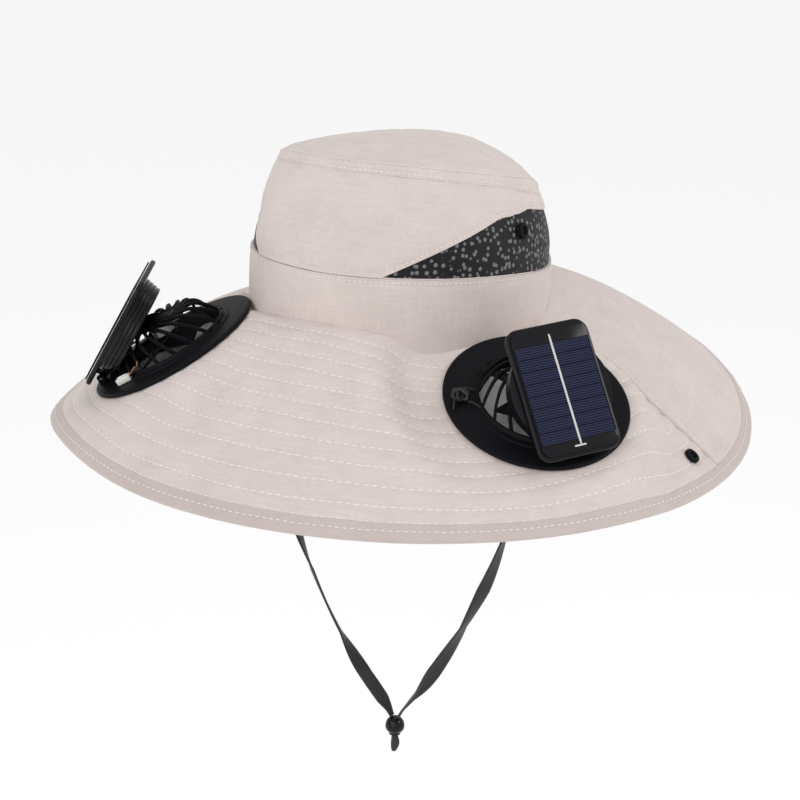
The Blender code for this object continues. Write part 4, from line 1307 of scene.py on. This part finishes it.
def make_snaps():
    for side, sign in SIDES:
        azimuth = sign * BRIM_SNAP_AZIMUTH
        here = brim_point(azimuth, BRIM_SNAP_SHARE)
        along = brim_point(azimuth + 0.5, BRIM_SNAP_SHARE) - brim_point(azimuth - 0.5, BRIM_SNAP_SHARE)
        outward = brim_point(azimuth, BRIM_SNAP_SHARE + 0.01) - brim_point(azimuth, BRIM_SNAP_SHARE - 0.01)
        up = outward.cross(along).normalized()
        snap = turned("snap_brim_" + side, snap_profile(), 40, surface_frame(here + up * 0.00045, up))
        finish_piece(snap, satin(), "hat", ("brim_snap_" + side,))

        azimuth = sign * CROWN_SNAP_AZIMUTH[side]
        inset = CROWN_WALL - MESH_WALL
        here = side_point(azimuth, CROWN_SNAP_LEVEL, inset)
        after, before = (side_point(azimuth + turn, CROWN_SNAP_LEVEL, inset) for turn in (1, -1))
        along = after - before
        upward = side_point(azimuth, CROWN_SNAP_LEVEL + 0.02, inset) - here
        up = along.cross(upward).normalized()
        snap = turned("snap_crown_" + side, snap_profile(), 40, surface_frame(here + up * 0.00045, up))
        finish_piece(snap, satin(), "hat", ("crown_snap_" + side,))


# ---- Fans ----


HUB_RADIUS = 0.0128

# The height above the seat where the ribs end, and the radius where they begin to turn down
RIB_FOOT = FLANGE_WALL + 0.0020
CAGE_FLAT = 0.021

# How sharply a rib turns down over the cage's shoulder: through the shoulder's own height
RIB_BEND = math.log((CAGE_HEIGHT - SHOULDER_HEIGHT) / (CAGE_HEIGHT - 0.0028 - FLANGE_WALL)) / math.log(
    (SHOULDER_RADIUS - 0.0012 - CAGE_FLAT) / (COLLAR_RADIUS - 0.0014 - CAGE_FLAT)
)

# A rib's turn about the hub, its width at the hub and how much of that it loses, and its depth
RIB_CURL = math.radians(48)
RIB_WIDTH = 0.0019
RIB_TAPER = 0.0004
RIB_DEPTH = 0.0022

# The row of small marks on the foot of the collar: the first one's turn and the step, in degrees
MARKS = 5
FIRST_MARK = 150
MARK_STEP = 18


def rib_line(share):
    """The middle of a rib, curling from the hub at 0 over the cage's shoulder to its skirt at 1."""
    inner, outer = HUB_RADIUS - 0.001, COLLAR_RADIUS - 0.0014
    radius = inner + (outer - inner) * share
    top = CAGE_HEIGHT - 0.0008
    over = max(0.0, (radius - CAGE_FLAT) / (outer - CAGE_FLAT))
    height = top - (top - RIB_FOOT + 0.0002) * over**RIB_BEND
    curl = RIB_CURL * share
    return Vector((radius * math.cos(curl), radius * math.sin(curl), height))


def make_flange():
    """The flange with its rolled edge, and the foot of the collar that the ribs stand on."""
    inside = COLLAR_RADIUS - CAGE_WALL
    profile = [(inside, FLANGE_WALL), (inside, -0.0028)]
    profile += [(SPIGOT_RADIUS - 0.0002, -0.0028), (SPIGOT_RADIUS - 0.0002, 0.0001)]
    profile += [(FLANGE_RADIUS - 0.0006, 0.0001), (FLANGE_RADIUS, 0.0008)]
    profile += [(FLANGE_RADIUS, FLANGE_WALL - 0.0010), (FLANGE_RADIUS - 0.0008, FLANGE_WALL - 0.0002)]
    profile += [(FLANGE_RADIUS - 0.0016, FLANGE_WALL)]
    for out, up in (
        (0.0042, 0.0),
        (0.0036, 0.0009),
        (0.0010, 0.0011),
        (0.0002, 0.0024),
        (-0.0006, 0.0030),
    ):
        profile.append((COLLAR_RADIUS + out, FLANGE_WALL + up))
    profile += [(inside, FLANGE_WALL + 0.0026), (inside, FLANGE_WALL)]
    return turned("flange", profile, 96)


def make_hub():
    """The round cap that the ribs start from, with a groove round its top."""
    profile = [(0, CAGE_HEIGHT + 0.0002)]
    for share, sunk in ((0.55, -0.0002), (0.62, 0.0004), (0.78, 0.0004), (0.84, 0.0), (0.96, 0.0001)):
        profile.append((HUB_RADIUS * share, CAGE_HEIGHT - sunk))
    profile += [(HUB_RADIUS, CAGE_HEIGHT - 0.0008), (HUB_RADIUS, CAGE_HEIGHT - CAGE_WALL)]
    profile += [(0, CAGE_HEIGHT - CAGE_WALL)]
    return turned("hub", profile, 56)


def make_ribs():
    rib = cube("rib", (1, 1, 1), (0, 0, 0))
    shape = bmesh.new()
    shape.from_mesh(rib.data)
    long_edges = [edge for edge in shape.edges if abs(edge.verts[0].co.x - edge.verts[1].co.x) > 0.5]
    bmesh.ops.subdivide_edges(shape, edges=long_edges, cuts=9, use_grid_fill=True)
    for vertex in shape.verts:
        share = vertex.co.x + 0.5
        here = rib_line(share)
        ahead = (rib_line(min(1, share + 0.02)) - rib_line(max(0, share - 0.02))).normalized()
        across = Vector((0, 0, 1)).cross(ahead).normalized()
        up = ahead.cross(across)
        thick = RIB_WIDTH - RIB_TAPER * share
        vertex.co = here + across * vertex.co.y * thick * 1.1 + up * vertex.co.z * RIB_DEPTH
    shape.to_mesh(rib.data)
    shape.free()
    soften(rib, 0.00035, 2, BEVEL_ANGLE)
    ribs = settings("hat_fan").ribs
    return copies("ribs", rib, [Matrix.Rotation(2 * math.pi * k / ribs, 4, "Z") for k in range(ribs)])


def make_housing(side):
    parts = [make_flange(), make_hub(), make_ribs()]
    for sign in (-1, 1):
        middle = sign * (BARREL_HALF_WIDTH + 0.0006 + LUG_WIDTH / 2)
        parts.append(cube("lug", (0.0052, LUG_WIDTH, 0.0064), (HINGE_OUT, middle, 0.0050), 0.0010, 3))
    for k in range(MARKS):
        mark = cube("mark", (0.0009, 0.0050, 0.0008), (0, 0, 0), 0.0002, 1)
        mark.data.transform(
            Matrix.Rotation(math.radians(FIRST_MARK + MARK_STEP * k), 4, "Z")
            @ Matrix.Translation((COLLAR_RADIUS + 0.0007, 0, FLANGE_WALL + 0.0024))
        )
        parts.append(mark)
    whole = join(parts, "fan_cage_" + side)
    whole.data.transform(SEATS[side])
    finish_piece(whole, satin(), "hat", ("fan_housing_" + side,), 32)
    make_screen(side)


def make_screen(side):
    """A fine grey gauze over the guard, under the rotor."""
    top = -SEAM_GAP - QUILT_WALL - 0.0003
    profile = [(0, top), (0.0335, top), (0.0335, top - 0.0003), (0, top - 0.0003)]
    screen = turned("fan_gauze_" + side, profile, 64, SEATS[side])
    gauze = cloth_material("gauze", (0.60, 0.58, 0.565), shade=0.3, threads=2200, bump=0.3)
    finish_piece(screen, gauze, "hat")


def make_lid(side):
    frame_matrix = lid_frame(side)
    middle = LID_LENGTH / 2 - LID_OVERHANG
    size, centre = (LID_LENGTH, LID_WIDTH, LID_WALL), (middle, 0, LID_FACE - LID_WALL / 2)
    plate = slab("plate", size, LID_CORNER, centre, 0.0011, 4)

    floor = LID_FACE - CUP_DEPTH
    ceiling = LID_FACE - LID_WALL
    rings = 4
    profile = [(0, ceiling + 0.0008), (CUP_RADIUS, ceiling + 0.0008)]
    step = (ceiling - floor) / rings
    for k in range(rings):
        radius = CUP_RADIUS - 0.00060 * k
        top = ceiling - step * k
        profile += [
            (radius, top - 0.0003),
            (radius, top - step + 0.0006),
            (radius - 0.00035, top - step + 0.0003),
            (radius - 0.0007, top - step + 0.0001),
        ]
    inner = CUP_RADIUS - CUP_WALL - 0.0014
    profile += [(inner + 0.0004, floor), (inner, floor + 0.0006)]
    profile += [(inner, ceiling - 0.0004), (0, ceiling - 0.0004)]
    cup = turned("cup", profile, 96, Matrix.Translation((middle, 0, 0)))

    inside = turned(
        "inside",
        [
            (0, ceiling - 0.0016),
            (0.0085, ceiling - 0.0016),
            (0.0090, ceiling - 0.0011),
            (0.0150, ceiling - 0.0011),
            (0.0155, ceiling - 0.0003),
            (0, ceiling - 0.0003),
        ],
        48,
        Matrix.Translation((middle, 0, 0)),
    )
    reach = middle - CUP_RADIUS + CUP_WALL
    web = cube(
        "web",
        (reach, 2 * BARREL_HALF_WIDTH, ceiling + BARREL_RADIUS * 0.6),
        (reach / 2, 0, (ceiling - BARREL_RADIUS * 0.2) / 2 + 0.0002),
        0.0008,
        2,
    )
    across = Matrix.Rotation(math.pi / 2, 4, "X")
    half = BARREL_HALF_WIDTH
    barrel = turned(
        "barrel",
        [
            (0.0012, half),
            (BARREL_RADIUS - 0.0004, half),
            (BARREL_RADIUS, half - 0.0004),
            (BARREL_RADIUS, 0.0004 - half),
            (BARREL_RADIUS - 0.0004, -half),
            (0.0012, -half),
            (0.0012, half),
        ],
        32,
        across,
    )
    whole = join([plate, cup, inside, web, barrel], "solar_lid_shell_" + side)
    whole.data.transform(frame_matrix)
    finish_piece(whole, gloss(), "solar_lid_" + side, ("solar_lid_" + side,), 32)
    make_cell(side, frame_matrix, middle)


# Beads of solder down a panel's pale strip
SOLDER_BEADS = 46


def make_cell(side, frame_matrix, middle):
    """The panel: a clear edge round a field of cells, a pale strip down it and a dash at its foot."""
    length, width = LID_LENGTH - 2 * CELL_MARGIN, LID_WIDTH - 2 * CELL_MARGIN
    base = LID_FACE + SEAM_GAP
    size, centre = (length, width, CELL_WALL), (middle, 0, base + CELL_WALL / 2)
    panel = slab("solar_panel_" + side, size, LID_CORNER - CELL_MARGIN, centre, 0.0004, 2)
    panel.data.transform(frame_matrix)
    finish_piece(panel, gloss(), "solar_lid_" + side, ("solar_cell_" + side,), 32)

    top = base + CELL_WALL
    foot = 0.0085
    field_length = length - 0.0155
    field_middle = middle - LID_LENGTH / 2 + foot + 0.0005 + field_length / 2
    clear_selection()
    bpy.ops.mesh.primitive_plane_add(size=1)
    field = bpy.context.object
    field.name = field.data.name = "cell_field_" + side
    field.data.transform(
        Matrix.Translation((field_middle, 0, top + 0.00008)) @ Matrix.Diagonal((field_length, 0.0462, 1, 1))
    )
    step = field.modifiers.new("Wall", "SOLIDIFY")
    step.thickness = 0.00006
    apply_modifiers(field)
    field.data.transform(frame_matrix)
    finish_piece(field, cell_material(), "solar_lid_" + side, angle=None)

    start = middle - length / 2
    marks = [
        cube("strip", (length - 0.0070, 0.0009, 0.00010), (middle - 0.0005, 0, top + 0.00022)),
        cube("dash", (0.0009, 0.0070, 0.00010), (start + 0.0034, 0.0005, top + 0.0001)),
    ]
    for k in range(SOLDER_BEADS):
        bead_x = start + 0.006 + (length - 0.012) * k / (SOLDER_BEADS - 1)
        marks.append(cube("bead", (0.0009, 0.0013, 0.00016), (bead_x, 0, top + 0.00026), 0.00005, 1))
    whole = join(marks, "cell_strip_" + side)
    whole.data.transform(frame_matrix)
    silver = plain_material("silver strip", (0.62, 0.60, 0.57), 0.42, metallic=0.6)
    finish_piece(whole, silver, "solar_lid_" + side, angle=30)


def make_fans():
    for side in FANS:
        make_housing(side)
        make_lid(side)
    steel = plain_material("steel", (0.60, 0.60, 0.62), 0.28, metallic=1.0)
    for name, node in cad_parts.items():
        plastic = name.startswith(("fan_rotor", "fan_guard"))
        if plastic or name.startswith(("fan_motor", "hinge_pin")):
            node.data.materials.clear()
            node.data.materials.append(satin() if plastic else steel)


# The top of a flange as a wire finds it, a plug's place on it, and how many strands leave the plug
FLANGE_TOP = FLANGE_WALL + SEAM_GAP
PLUG_OUT = 0.0260
PLUG_SIDE = 0.0310
PLUG_SIZE = (0.009, 0.0045, 0.0038)
STRANDS = 3
STRAND_RADIUS = 0.00042

# The tied bundle: its place, the turns of wire in it with their sizes, and the wire's radius
KNOT_PLACE = (-0.012, -0.0430, FLANGE_TOP + 0.0034)
KNOT_TURNS = 6
KNOT_STEPS = 26
KNOT_HALF_LENGTH = 0.0052
KNOT_HALF_WIDTH = 0.0034
KNOT_FLATNESS = 0.62
WIRE_RADIUS = 0.00085


def make_plug(side):
    """A white plug with a ridge on it, and the copper ends that run from it into the cage."""
    white = plain_material("white plastic", (0.80, 0.78, 0.73), 0.38)
    copper = plain_material("copper wire", (0.42, 0.20, 0.11), 0.35, metallic=0.8)
    place = (PLUG_OUT, PLUG_SIDE)
    body = cube("plug", PLUG_SIZE, (*place, FLANGE_TOP + PLUG_SIZE[2] / 2), 0.0005, 2)
    ridge = cube("ridge", (0.0060, 0.0012, 0.0008), (*place, FLANGE_TOP + 0.0041), 0.0003, 1)
    whole = join([body, ridge], "plug_" + side)
    whole.data.transform(SEATS[side])
    finish_piece(whole, white, "hat", ("wire_plug_" + side,))
    strands = []
    for k in range(STRANDS):
        across = PLUG_SIDE + (k - 1) * 0.0011
        route = [
            (0.0220, across, FLANGE_TOP + 0.0021),
            (0.0190, across * 1.01, FLANGE_TOP + 0.0030 + 0.0006 * k),
            (0.0165, across * 0.99, FLANGE_TOP + 0.0040 + 0.0008 * k),
            (0.0150, across * 0.96, FLANGE_TOP + 0.0054),
            (0.0140, across * 0.91, FLANGE_TOP + 0.0072),
        ]
        spots = [Vector(spot) for spot in smooth_route(route, 24)]
        strands.append(tube("strand", spots, STRAND_RADIUS, 8))
    whole = join(strands, "plug_wires_" + side)
    whole.data.transform(SEATS[side])
    finish_piece(whole, copper, "hat")


def make_wire_knot():
    """Turns of black wire tied in a bundle on the left flange, with three ends that lie on it."""
    random.seed(21)
    loops = []
    for _ in range(KNOT_TURNS):
        turn = Matrix.Rotation(random.uniform(0, math.pi), 3, "Z")
        tilt = turn @ Matrix.Rotation(random.uniform(0.5, 1.3), 3, "X")
        size = random.uniform(0.75, 1.0)
        spots = []
        for step in range(KNOT_STEPS):
            angle = 2 * math.pi * step / KNOT_STEPS
            length, width = KNOT_HALF_LENGTH * size, KNOT_HALF_WIDTH * size
            local = tilt @ Vector((length * math.cos(angle), width * math.sin(angle), 0))
            local.z *= KNOT_FLATNESS
            spots.append(Vector(KNOT_PLACE) + local)
        loops.append(tube("loop", spots, WIRE_RADIUS, 8, True))
    ends = (
        ((-0.006, -0.041), (0.0, -0.0345)),
        ((-0.016, -0.040), (-0.0145, -0.0325)),
        ((-0.010, -0.047), (-0.004, -0.0505)),
    )
    for start, end in ends:
        middle = (start[0] * 0.5 + end[0] * 0.5 - 0.001, (start[1] + end[1]) / 2)
        route = [(*start, FLANGE_TOP + 0.0032), (*middle, FLANGE_TOP + 0.0026), (*end, FLANGE_TOP + 0.0012)]
        loops.append(tube("loop", [Vector(spot) for spot in smooth_route(route, 12)], 0.00062, 8))
    whole = join(loops, "wire_bundle")
    whole.data.transform(SEATS["left"])
    black = plain_material("black wire", (0.010, 0.010, 0.011), 0.38)
    finish_piece(whole, black, "hat", ("wire_knot_left",))


def make_wires():
    for side in FANS:
        make_plug(side)
    make_wire_knot()


# ---- Chin strap ----

# Turn of the strap about its own line, along its length, in degrees
TWISTS = {
    "left": [(0.0, 0), (0.50, 0), (0.62, 50), (0.72, 10), (0.84, 70), (0.93, 160), (1.0, 180)],
    "right": [(0.0, 0), (0.55, 10), (0.66, -45), (0.80, -30), (0.90, 60), (1.0, 20)],
}


def strap_length(route):
    spots = smooth_route(route, 240)
    return float(np.linalg.norm(np.diff(spots, axis=0), axis=1).sum()), spots


def make_strap():
    webbing = cloth_material(
        "webbing", (0.007, 0.007, 0.008), shade=0.5, threads=1400, bump=0.5, roughness=0.62
    )
    lock = turned(
        "strap_toggle",
        [
            (0, LOCK_HEIGHT / 2),
            (LOCK_RADIUS * 0.45, LOCK_HEIGHT / 2),
            (LOCK_RADIUS * 0.60, LOCK_HEIGHT * 0.46),
            (LOCK_RADIUS * 0.88, LOCK_HEIGHT * 0.28),
            (LOCK_RADIUS * 0.98, LOCK_HEIGHT * 0.10),
            (LOCK_RADIUS, -LOCK_HEIGHT * 0.02),
            (LOCK_RADIUS * 0.95, -LOCK_HEIGHT * 0.16),
            (LOCK_RADIUS * 0.78, -LOCK_HEIGHT * 0.29),
            (LOCK_RADIUS * 0.62, -LOCK_HEIGHT * 0.34),
            (LOCK_RADIUS * 0.60, -LOCK_HEIGHT * 0.48),
            (LOCK_RADIUS * 0.54, -LOCK_HEIGHT * 0.50),
            (0, -LOCK_HEIGHT * 0.50),
        ],
        48,
        Matrix.Translation(LOCK_CENTRE),
    )
    finish_piece(lock, gloss(), "hat", ("strap_lock",))
    top = LOCK_CENTRE[2] - LOCK_HEIGHT / 2 - SEAM_GAP

    def tail_place(u, v):
        angle = 2 * math.pi * (u % 1.0)
        wide = 0.0016 + 0.0016 * math.sin(math.pi * min(1.0, v * 1.1)) ** 0.7
        thick = 0.0013
        closed = 0.05 if v < 1e-6 or v > 1 - 1e-6 else 1.0
        return Vector(
            (
                LOCK_CENTRE[0] + closed * wide * math.cos(angle) + 0.0006 * math.sin(v * 4),
                LOCK_CENTRE[1] + closed * thick * math.sin(angle),
                top - TAIL_LENGTH * v,
            )
        )

    tail = grid("strap_tail", 24, 20, tail_place, wrap=True)
    mend(tail, fill=True)
    finish_piece(tail, webbing, "hat", ("strap_end",))

    for side, route in (("left", STRAP_LEFT), ("right", STRAP_RIGHT)):
        length, spots = strap_length(route)
        turns = np.array(TWISTS[side], float)

        def strap_place(u, v, spots=spots, turns=turns):
            place = (1 - v) * (len(spots) - 1)
            low = min(int(place), len(spots) - 2)
            share = place - low
            here = Vector(spots[low] * (1 - share) + spots[low + 1] * share)
            ahead = Vector(spots[min(low + 2, len(spots) - 1)] - spots[max(low - 1, 0)]).normalized()
            twist = math.radians(np.interp(1 - v, turns[:, 0], turns[:, 1]))
            wide = Vector((0, 1, 0))
            thin = ahead.cross(wide).normalized()
            wide, thin = (
                wide * math.cos(twist) + thin * math.sin(twist),
                thin * math.cos(twist) - wide * math.sin(twist),
            )
            angle = 2 * math.pi * (u % 1.0)
            reach = math.copysign(abs(math.cos(angle)) ** 0.5, math.cos(angle)) * STRAP_WIDTH / 2
            lift = math.copysign(abs(math.sin(angle)) ** 0.7, math.sin(angle)) * STRAP_WALL / 2
            squeeze = 1 - 0.55 * ease((1 - v - 0.955) / 0.045)
            return here + wide * reach * squeeze + thin * lift

        strap = grid("strap_" + side, 20, 300, strap_place, wrap=True)
        mend(strap, fill=True)
        finish_piece(strap, webbing, "hat", ("chin_strap_" + side,))


# ---- Stage ----

CAMERA_DISTANCE = 1.09
CAMERA_LOWER = -0.0711
CAMERA_SIDE = -0.0009
CAMERA_ROLL = math.radians(1.73)
FOCAL_PIXELS = 1755.46
IMAGE_PIXELS = 800
SENSOR_WIDTH = 36.0


def make_camera():
    stage = settings("hat_stage")
    azimuth, elevation = stage.azimuth, stage.elevation
    back = Vector(
        (
            math.sin(azimuth) * math.cos(elevation),
            -math.cos(azimuth) * math.cos(elevation),
            math.sin(elevation),
        )
    )
    right = Vector((math.cos(azimuth), math.sin(azimuth), 0))
    up = back.cross(right)
    across = right * math.cos(CAMERA_ROLL) + up * math.sin(CAMERA_ROLL)
    upward = up * math.cos(CAMERA_ROLL) - right * math.sin(CAMERA_ROLL)
    clear_selection()
    bpy.ops.object.camera_add()
    camera = bpy.context.object
    camera.name = "photo_camera"
    matrix = Matrix((across, upward, back)).transposed().to_4x4()
    matrix.translation = back * CAMERA_DISTANCE + across * CAMERA_SIDE + upward * CAMERA_LOWER
    camera.matrix_world = matrix
    camera.data.sensor_width = SENSOR_WIDTH
    camera.data.lens = FOCAL_PIXELS / IMAGE_PIXELS * SENSOR_WIDTH
    camera.data.clip_start = 0.01
    bpy.context.scene.camera = camera


def make_light(name, place, size, power, target=(0, 0, -0.03)):
    clear_selection()
    bpy.ops.object.light_add(type="AREA", location=place)
    lamp = bpy.context.object
    lamp.name = name
    lamp.data.shape = "DISK"
    lamp.data.size = size
    lamp.data.energy = power
    lamp.rotation_euler = (Vector(place) - Vector(target)).to_track_quat("Z", "Y").to_euler()


def make_stage():
    make_camera()
    clear_selection()
    height = settings("hat_stage").floor_height
    bpy.ops.mesh.primitive_plane_add(size=70, location=(0, 0, height))
    floor = bpy.context.object
    floor.name = "floor"
    pale = plain_material("pale floor", (0.93, 0.93, 0.93), 0.9, specular=0.0)
    pale.node_tree.nodes["Principled BSDF"].inputs["Emission Color"].default_value = (1, 1, 1, 1)
    pale.node_tree.nodes["Principled BSDF"].inputs["Emission Strength"].default_value = 0.22
    floor.data.materials.append(pale)
    world = bpy.data.worlds.new("studio")
    bpy.context.scene.world = world
    world.use_nodes = True
    world.node_tree.nodes["Background"].inputs["Color"].default_value = (1, 1, 1, 1)
    world.node_tree.nodes["Background"].inputs["Strength"].default_value = 0.66
    bpy.context.scene.view_settings.view_transform = "Standard"
    make_light("key", (-0.9, -1.5, 1.2), 0.7, 4)
    make_light("fill", (1.7, 0.5, 1.1), 0.9, 10)
    make_light("top", (0.2, 0.6, 2.2), 1.0, 2)
    clear_selection()
    bpy.ops.object.light_add(type="SUN", location=(0.1, -1.6, 0.75))
    sun = bpy.context.object
    sun.name = "sun"
    sun.data.energy = 0.70
    sun.data.angle = math.radians(50)
    sun.rotation_euler = sun.location.to_track_quat("Z", "Y").to_euler()


# ---- Add-on ----


class HAT_OT_stage(bpy.types.Operator):
    """Makes the camera, the floor and the light"""

    bl_idname = "hat.stage"
    bl_label = "Stage"

    def execute(self, context):
        make_stage()
        return {"FINISHED"}


class HAT_OT_strap(bpy.types.Operator):
    """Makes the chin strap, its lock and its end"""

    bl_idname = "hat.strap"
    bl_label = "Chin strap"

    def execute(self, context):
        make_strap()
        return {"FINISHED"}


class HAT_OT_brim(bpy.types.Operator):
    """Makes the quilted brim, the neck flap and the folded seams between them"""

    bl_idname = "hat.brim"
    bl_label = "Brim"

    def execute(self, context):
        make_brim()
        make_brim_seams()
        return {"FINISHED"}


class HAT_OT_edge_tape(bpy.types.Operator):
    """Makes the tape that binds the rim"""

    bl_idname = "hat.edge_tape"
    bl_label = "Edge tape"

    def execute(self, context):
        make_edge_tape()
        return {"FINISHED"}


class HAT_OT_crown(bpy.types.Operator):
    """Makes the crown's side and top and the band"""

    bl_idname = "hat.crown"
    bl_label = "Crown"

    def execute(self, context):
        make_crown()
        return {"FINISHED"}


class HAT_OT_nets(bpy.types.Operator):
    """Makes the net in each vent"""

    bl_idname = "hat.nets"
    bl_label = "Nets"

    def execute(self, context):
        make_nets()
        return {"FINISHED"}


class HAT_OT_stitching(bpy.types.Operator):
    """Makes the stitches of the brim, the seams and the tape"""

    bl_idname = "hat.stitching"
    bl_label = "Stitching"

    def execute(self, context):
        make_brim_stitching()
        make_seam_stitching()
        return {"FINISHED"}


class HAT_OT_snaps(bpy.types.Operator):
    """Makes the snaps on the brim and the crown"""

    bl_idname = "hat.snaps"
    bl_label = "Snaps"

    def execute(self, context):
        make_snaps()
        return {"FINISHED"}


class HAT_OT_fans(bpy.types.Operator):
    """Makes the fans' cages, the solar lids and their panels"""

    bl_idname = "hat.fans"
    bl_label = "Fans and lids"

    def execute(self, context):
        make_fans()
        return {"FINISHED"}


class HAT_OT_wires(bpy.types.Operator):
    """Makes the plugs and wires on the fans"""

    bl_idname = "hat.wires"
    bl_label = "Wires"

    def execute(self, context):
        make_wires()
        return {"FINISHED"}


OPERATORS = (
    HAT_OT_stage,
    HAT_OT_strap,
    HAT_OT_brim,
    HAT_OT_edge_tape,
    HAT_OT_crown,
    HAT_OT_nets,
    HAT_OT_stitching,
    HAT_OT_snaps,
    HAT_OT_fans,
    HAT_OT_wires,
)


class HAT_PT_panel(bpy.types.Panel):
    """Lists the hat's sizes, colours and pieces"""

    bl_idname = "HAT_PT_panel"
    bl_label = "Solar fan hat"
    bl_space_type = "VIEW_3D"
    bl_region_type = "UI"
    bl_category = "Fan Hat"

    def draw(self, context):
        for group in ("hat_cloth", "hat_fan", "hat_stage"):
            values = getattr(context.scene, group)
            box = self.layout.box()
            for key in values.bl_rna.properties.keys():
                if key not in ("rna_type", "name"):
                    box.prop(values, key)
        for operator in OPERATORS:
            self.layout.operator(operator.bl_idname)


CLASSES = (HatClothSettings, HatFanSettings, HatStageSettings, *OPERATORS, HAT_PT_panel)


def register():
    for item in CLASSES:
        bpy.utils.register_class(item)
    bpy.types.Scene.hat_cloth = PointerProperty(type=HatClothSettings)
    bpy.types.Scene.hat_fan = PointerProperty(type=HatFanSettings)
    bpy.types.Scene.hat_stage = PointerProperty(type=HatStageSettings)


def unregister():
    del bpy.types.Scene.hat_stage
    del bpy.types.Scene.hat_fan
    del bpy.types.Scene.hat_cloth
    for item in reversed(CLASSES):
        bpy.utils.unregister_class(item)


def main():
    register()
    bpy.ops.hat.stage()
    bpy.ops.hat.strap()
    bpy.ops.hat.brim()
    bpy.ops.hat.edge_tape()
    bpy.ops.hat.crown()
    bpy.ops.hat.nets()
    bpy.ops.hat.stitching()
    bpy.ops.hat.snaps()
    bpy.ops.hat.fans()
    bpy.ops.hat.wires()


if __name__ == "__main__":
    main()
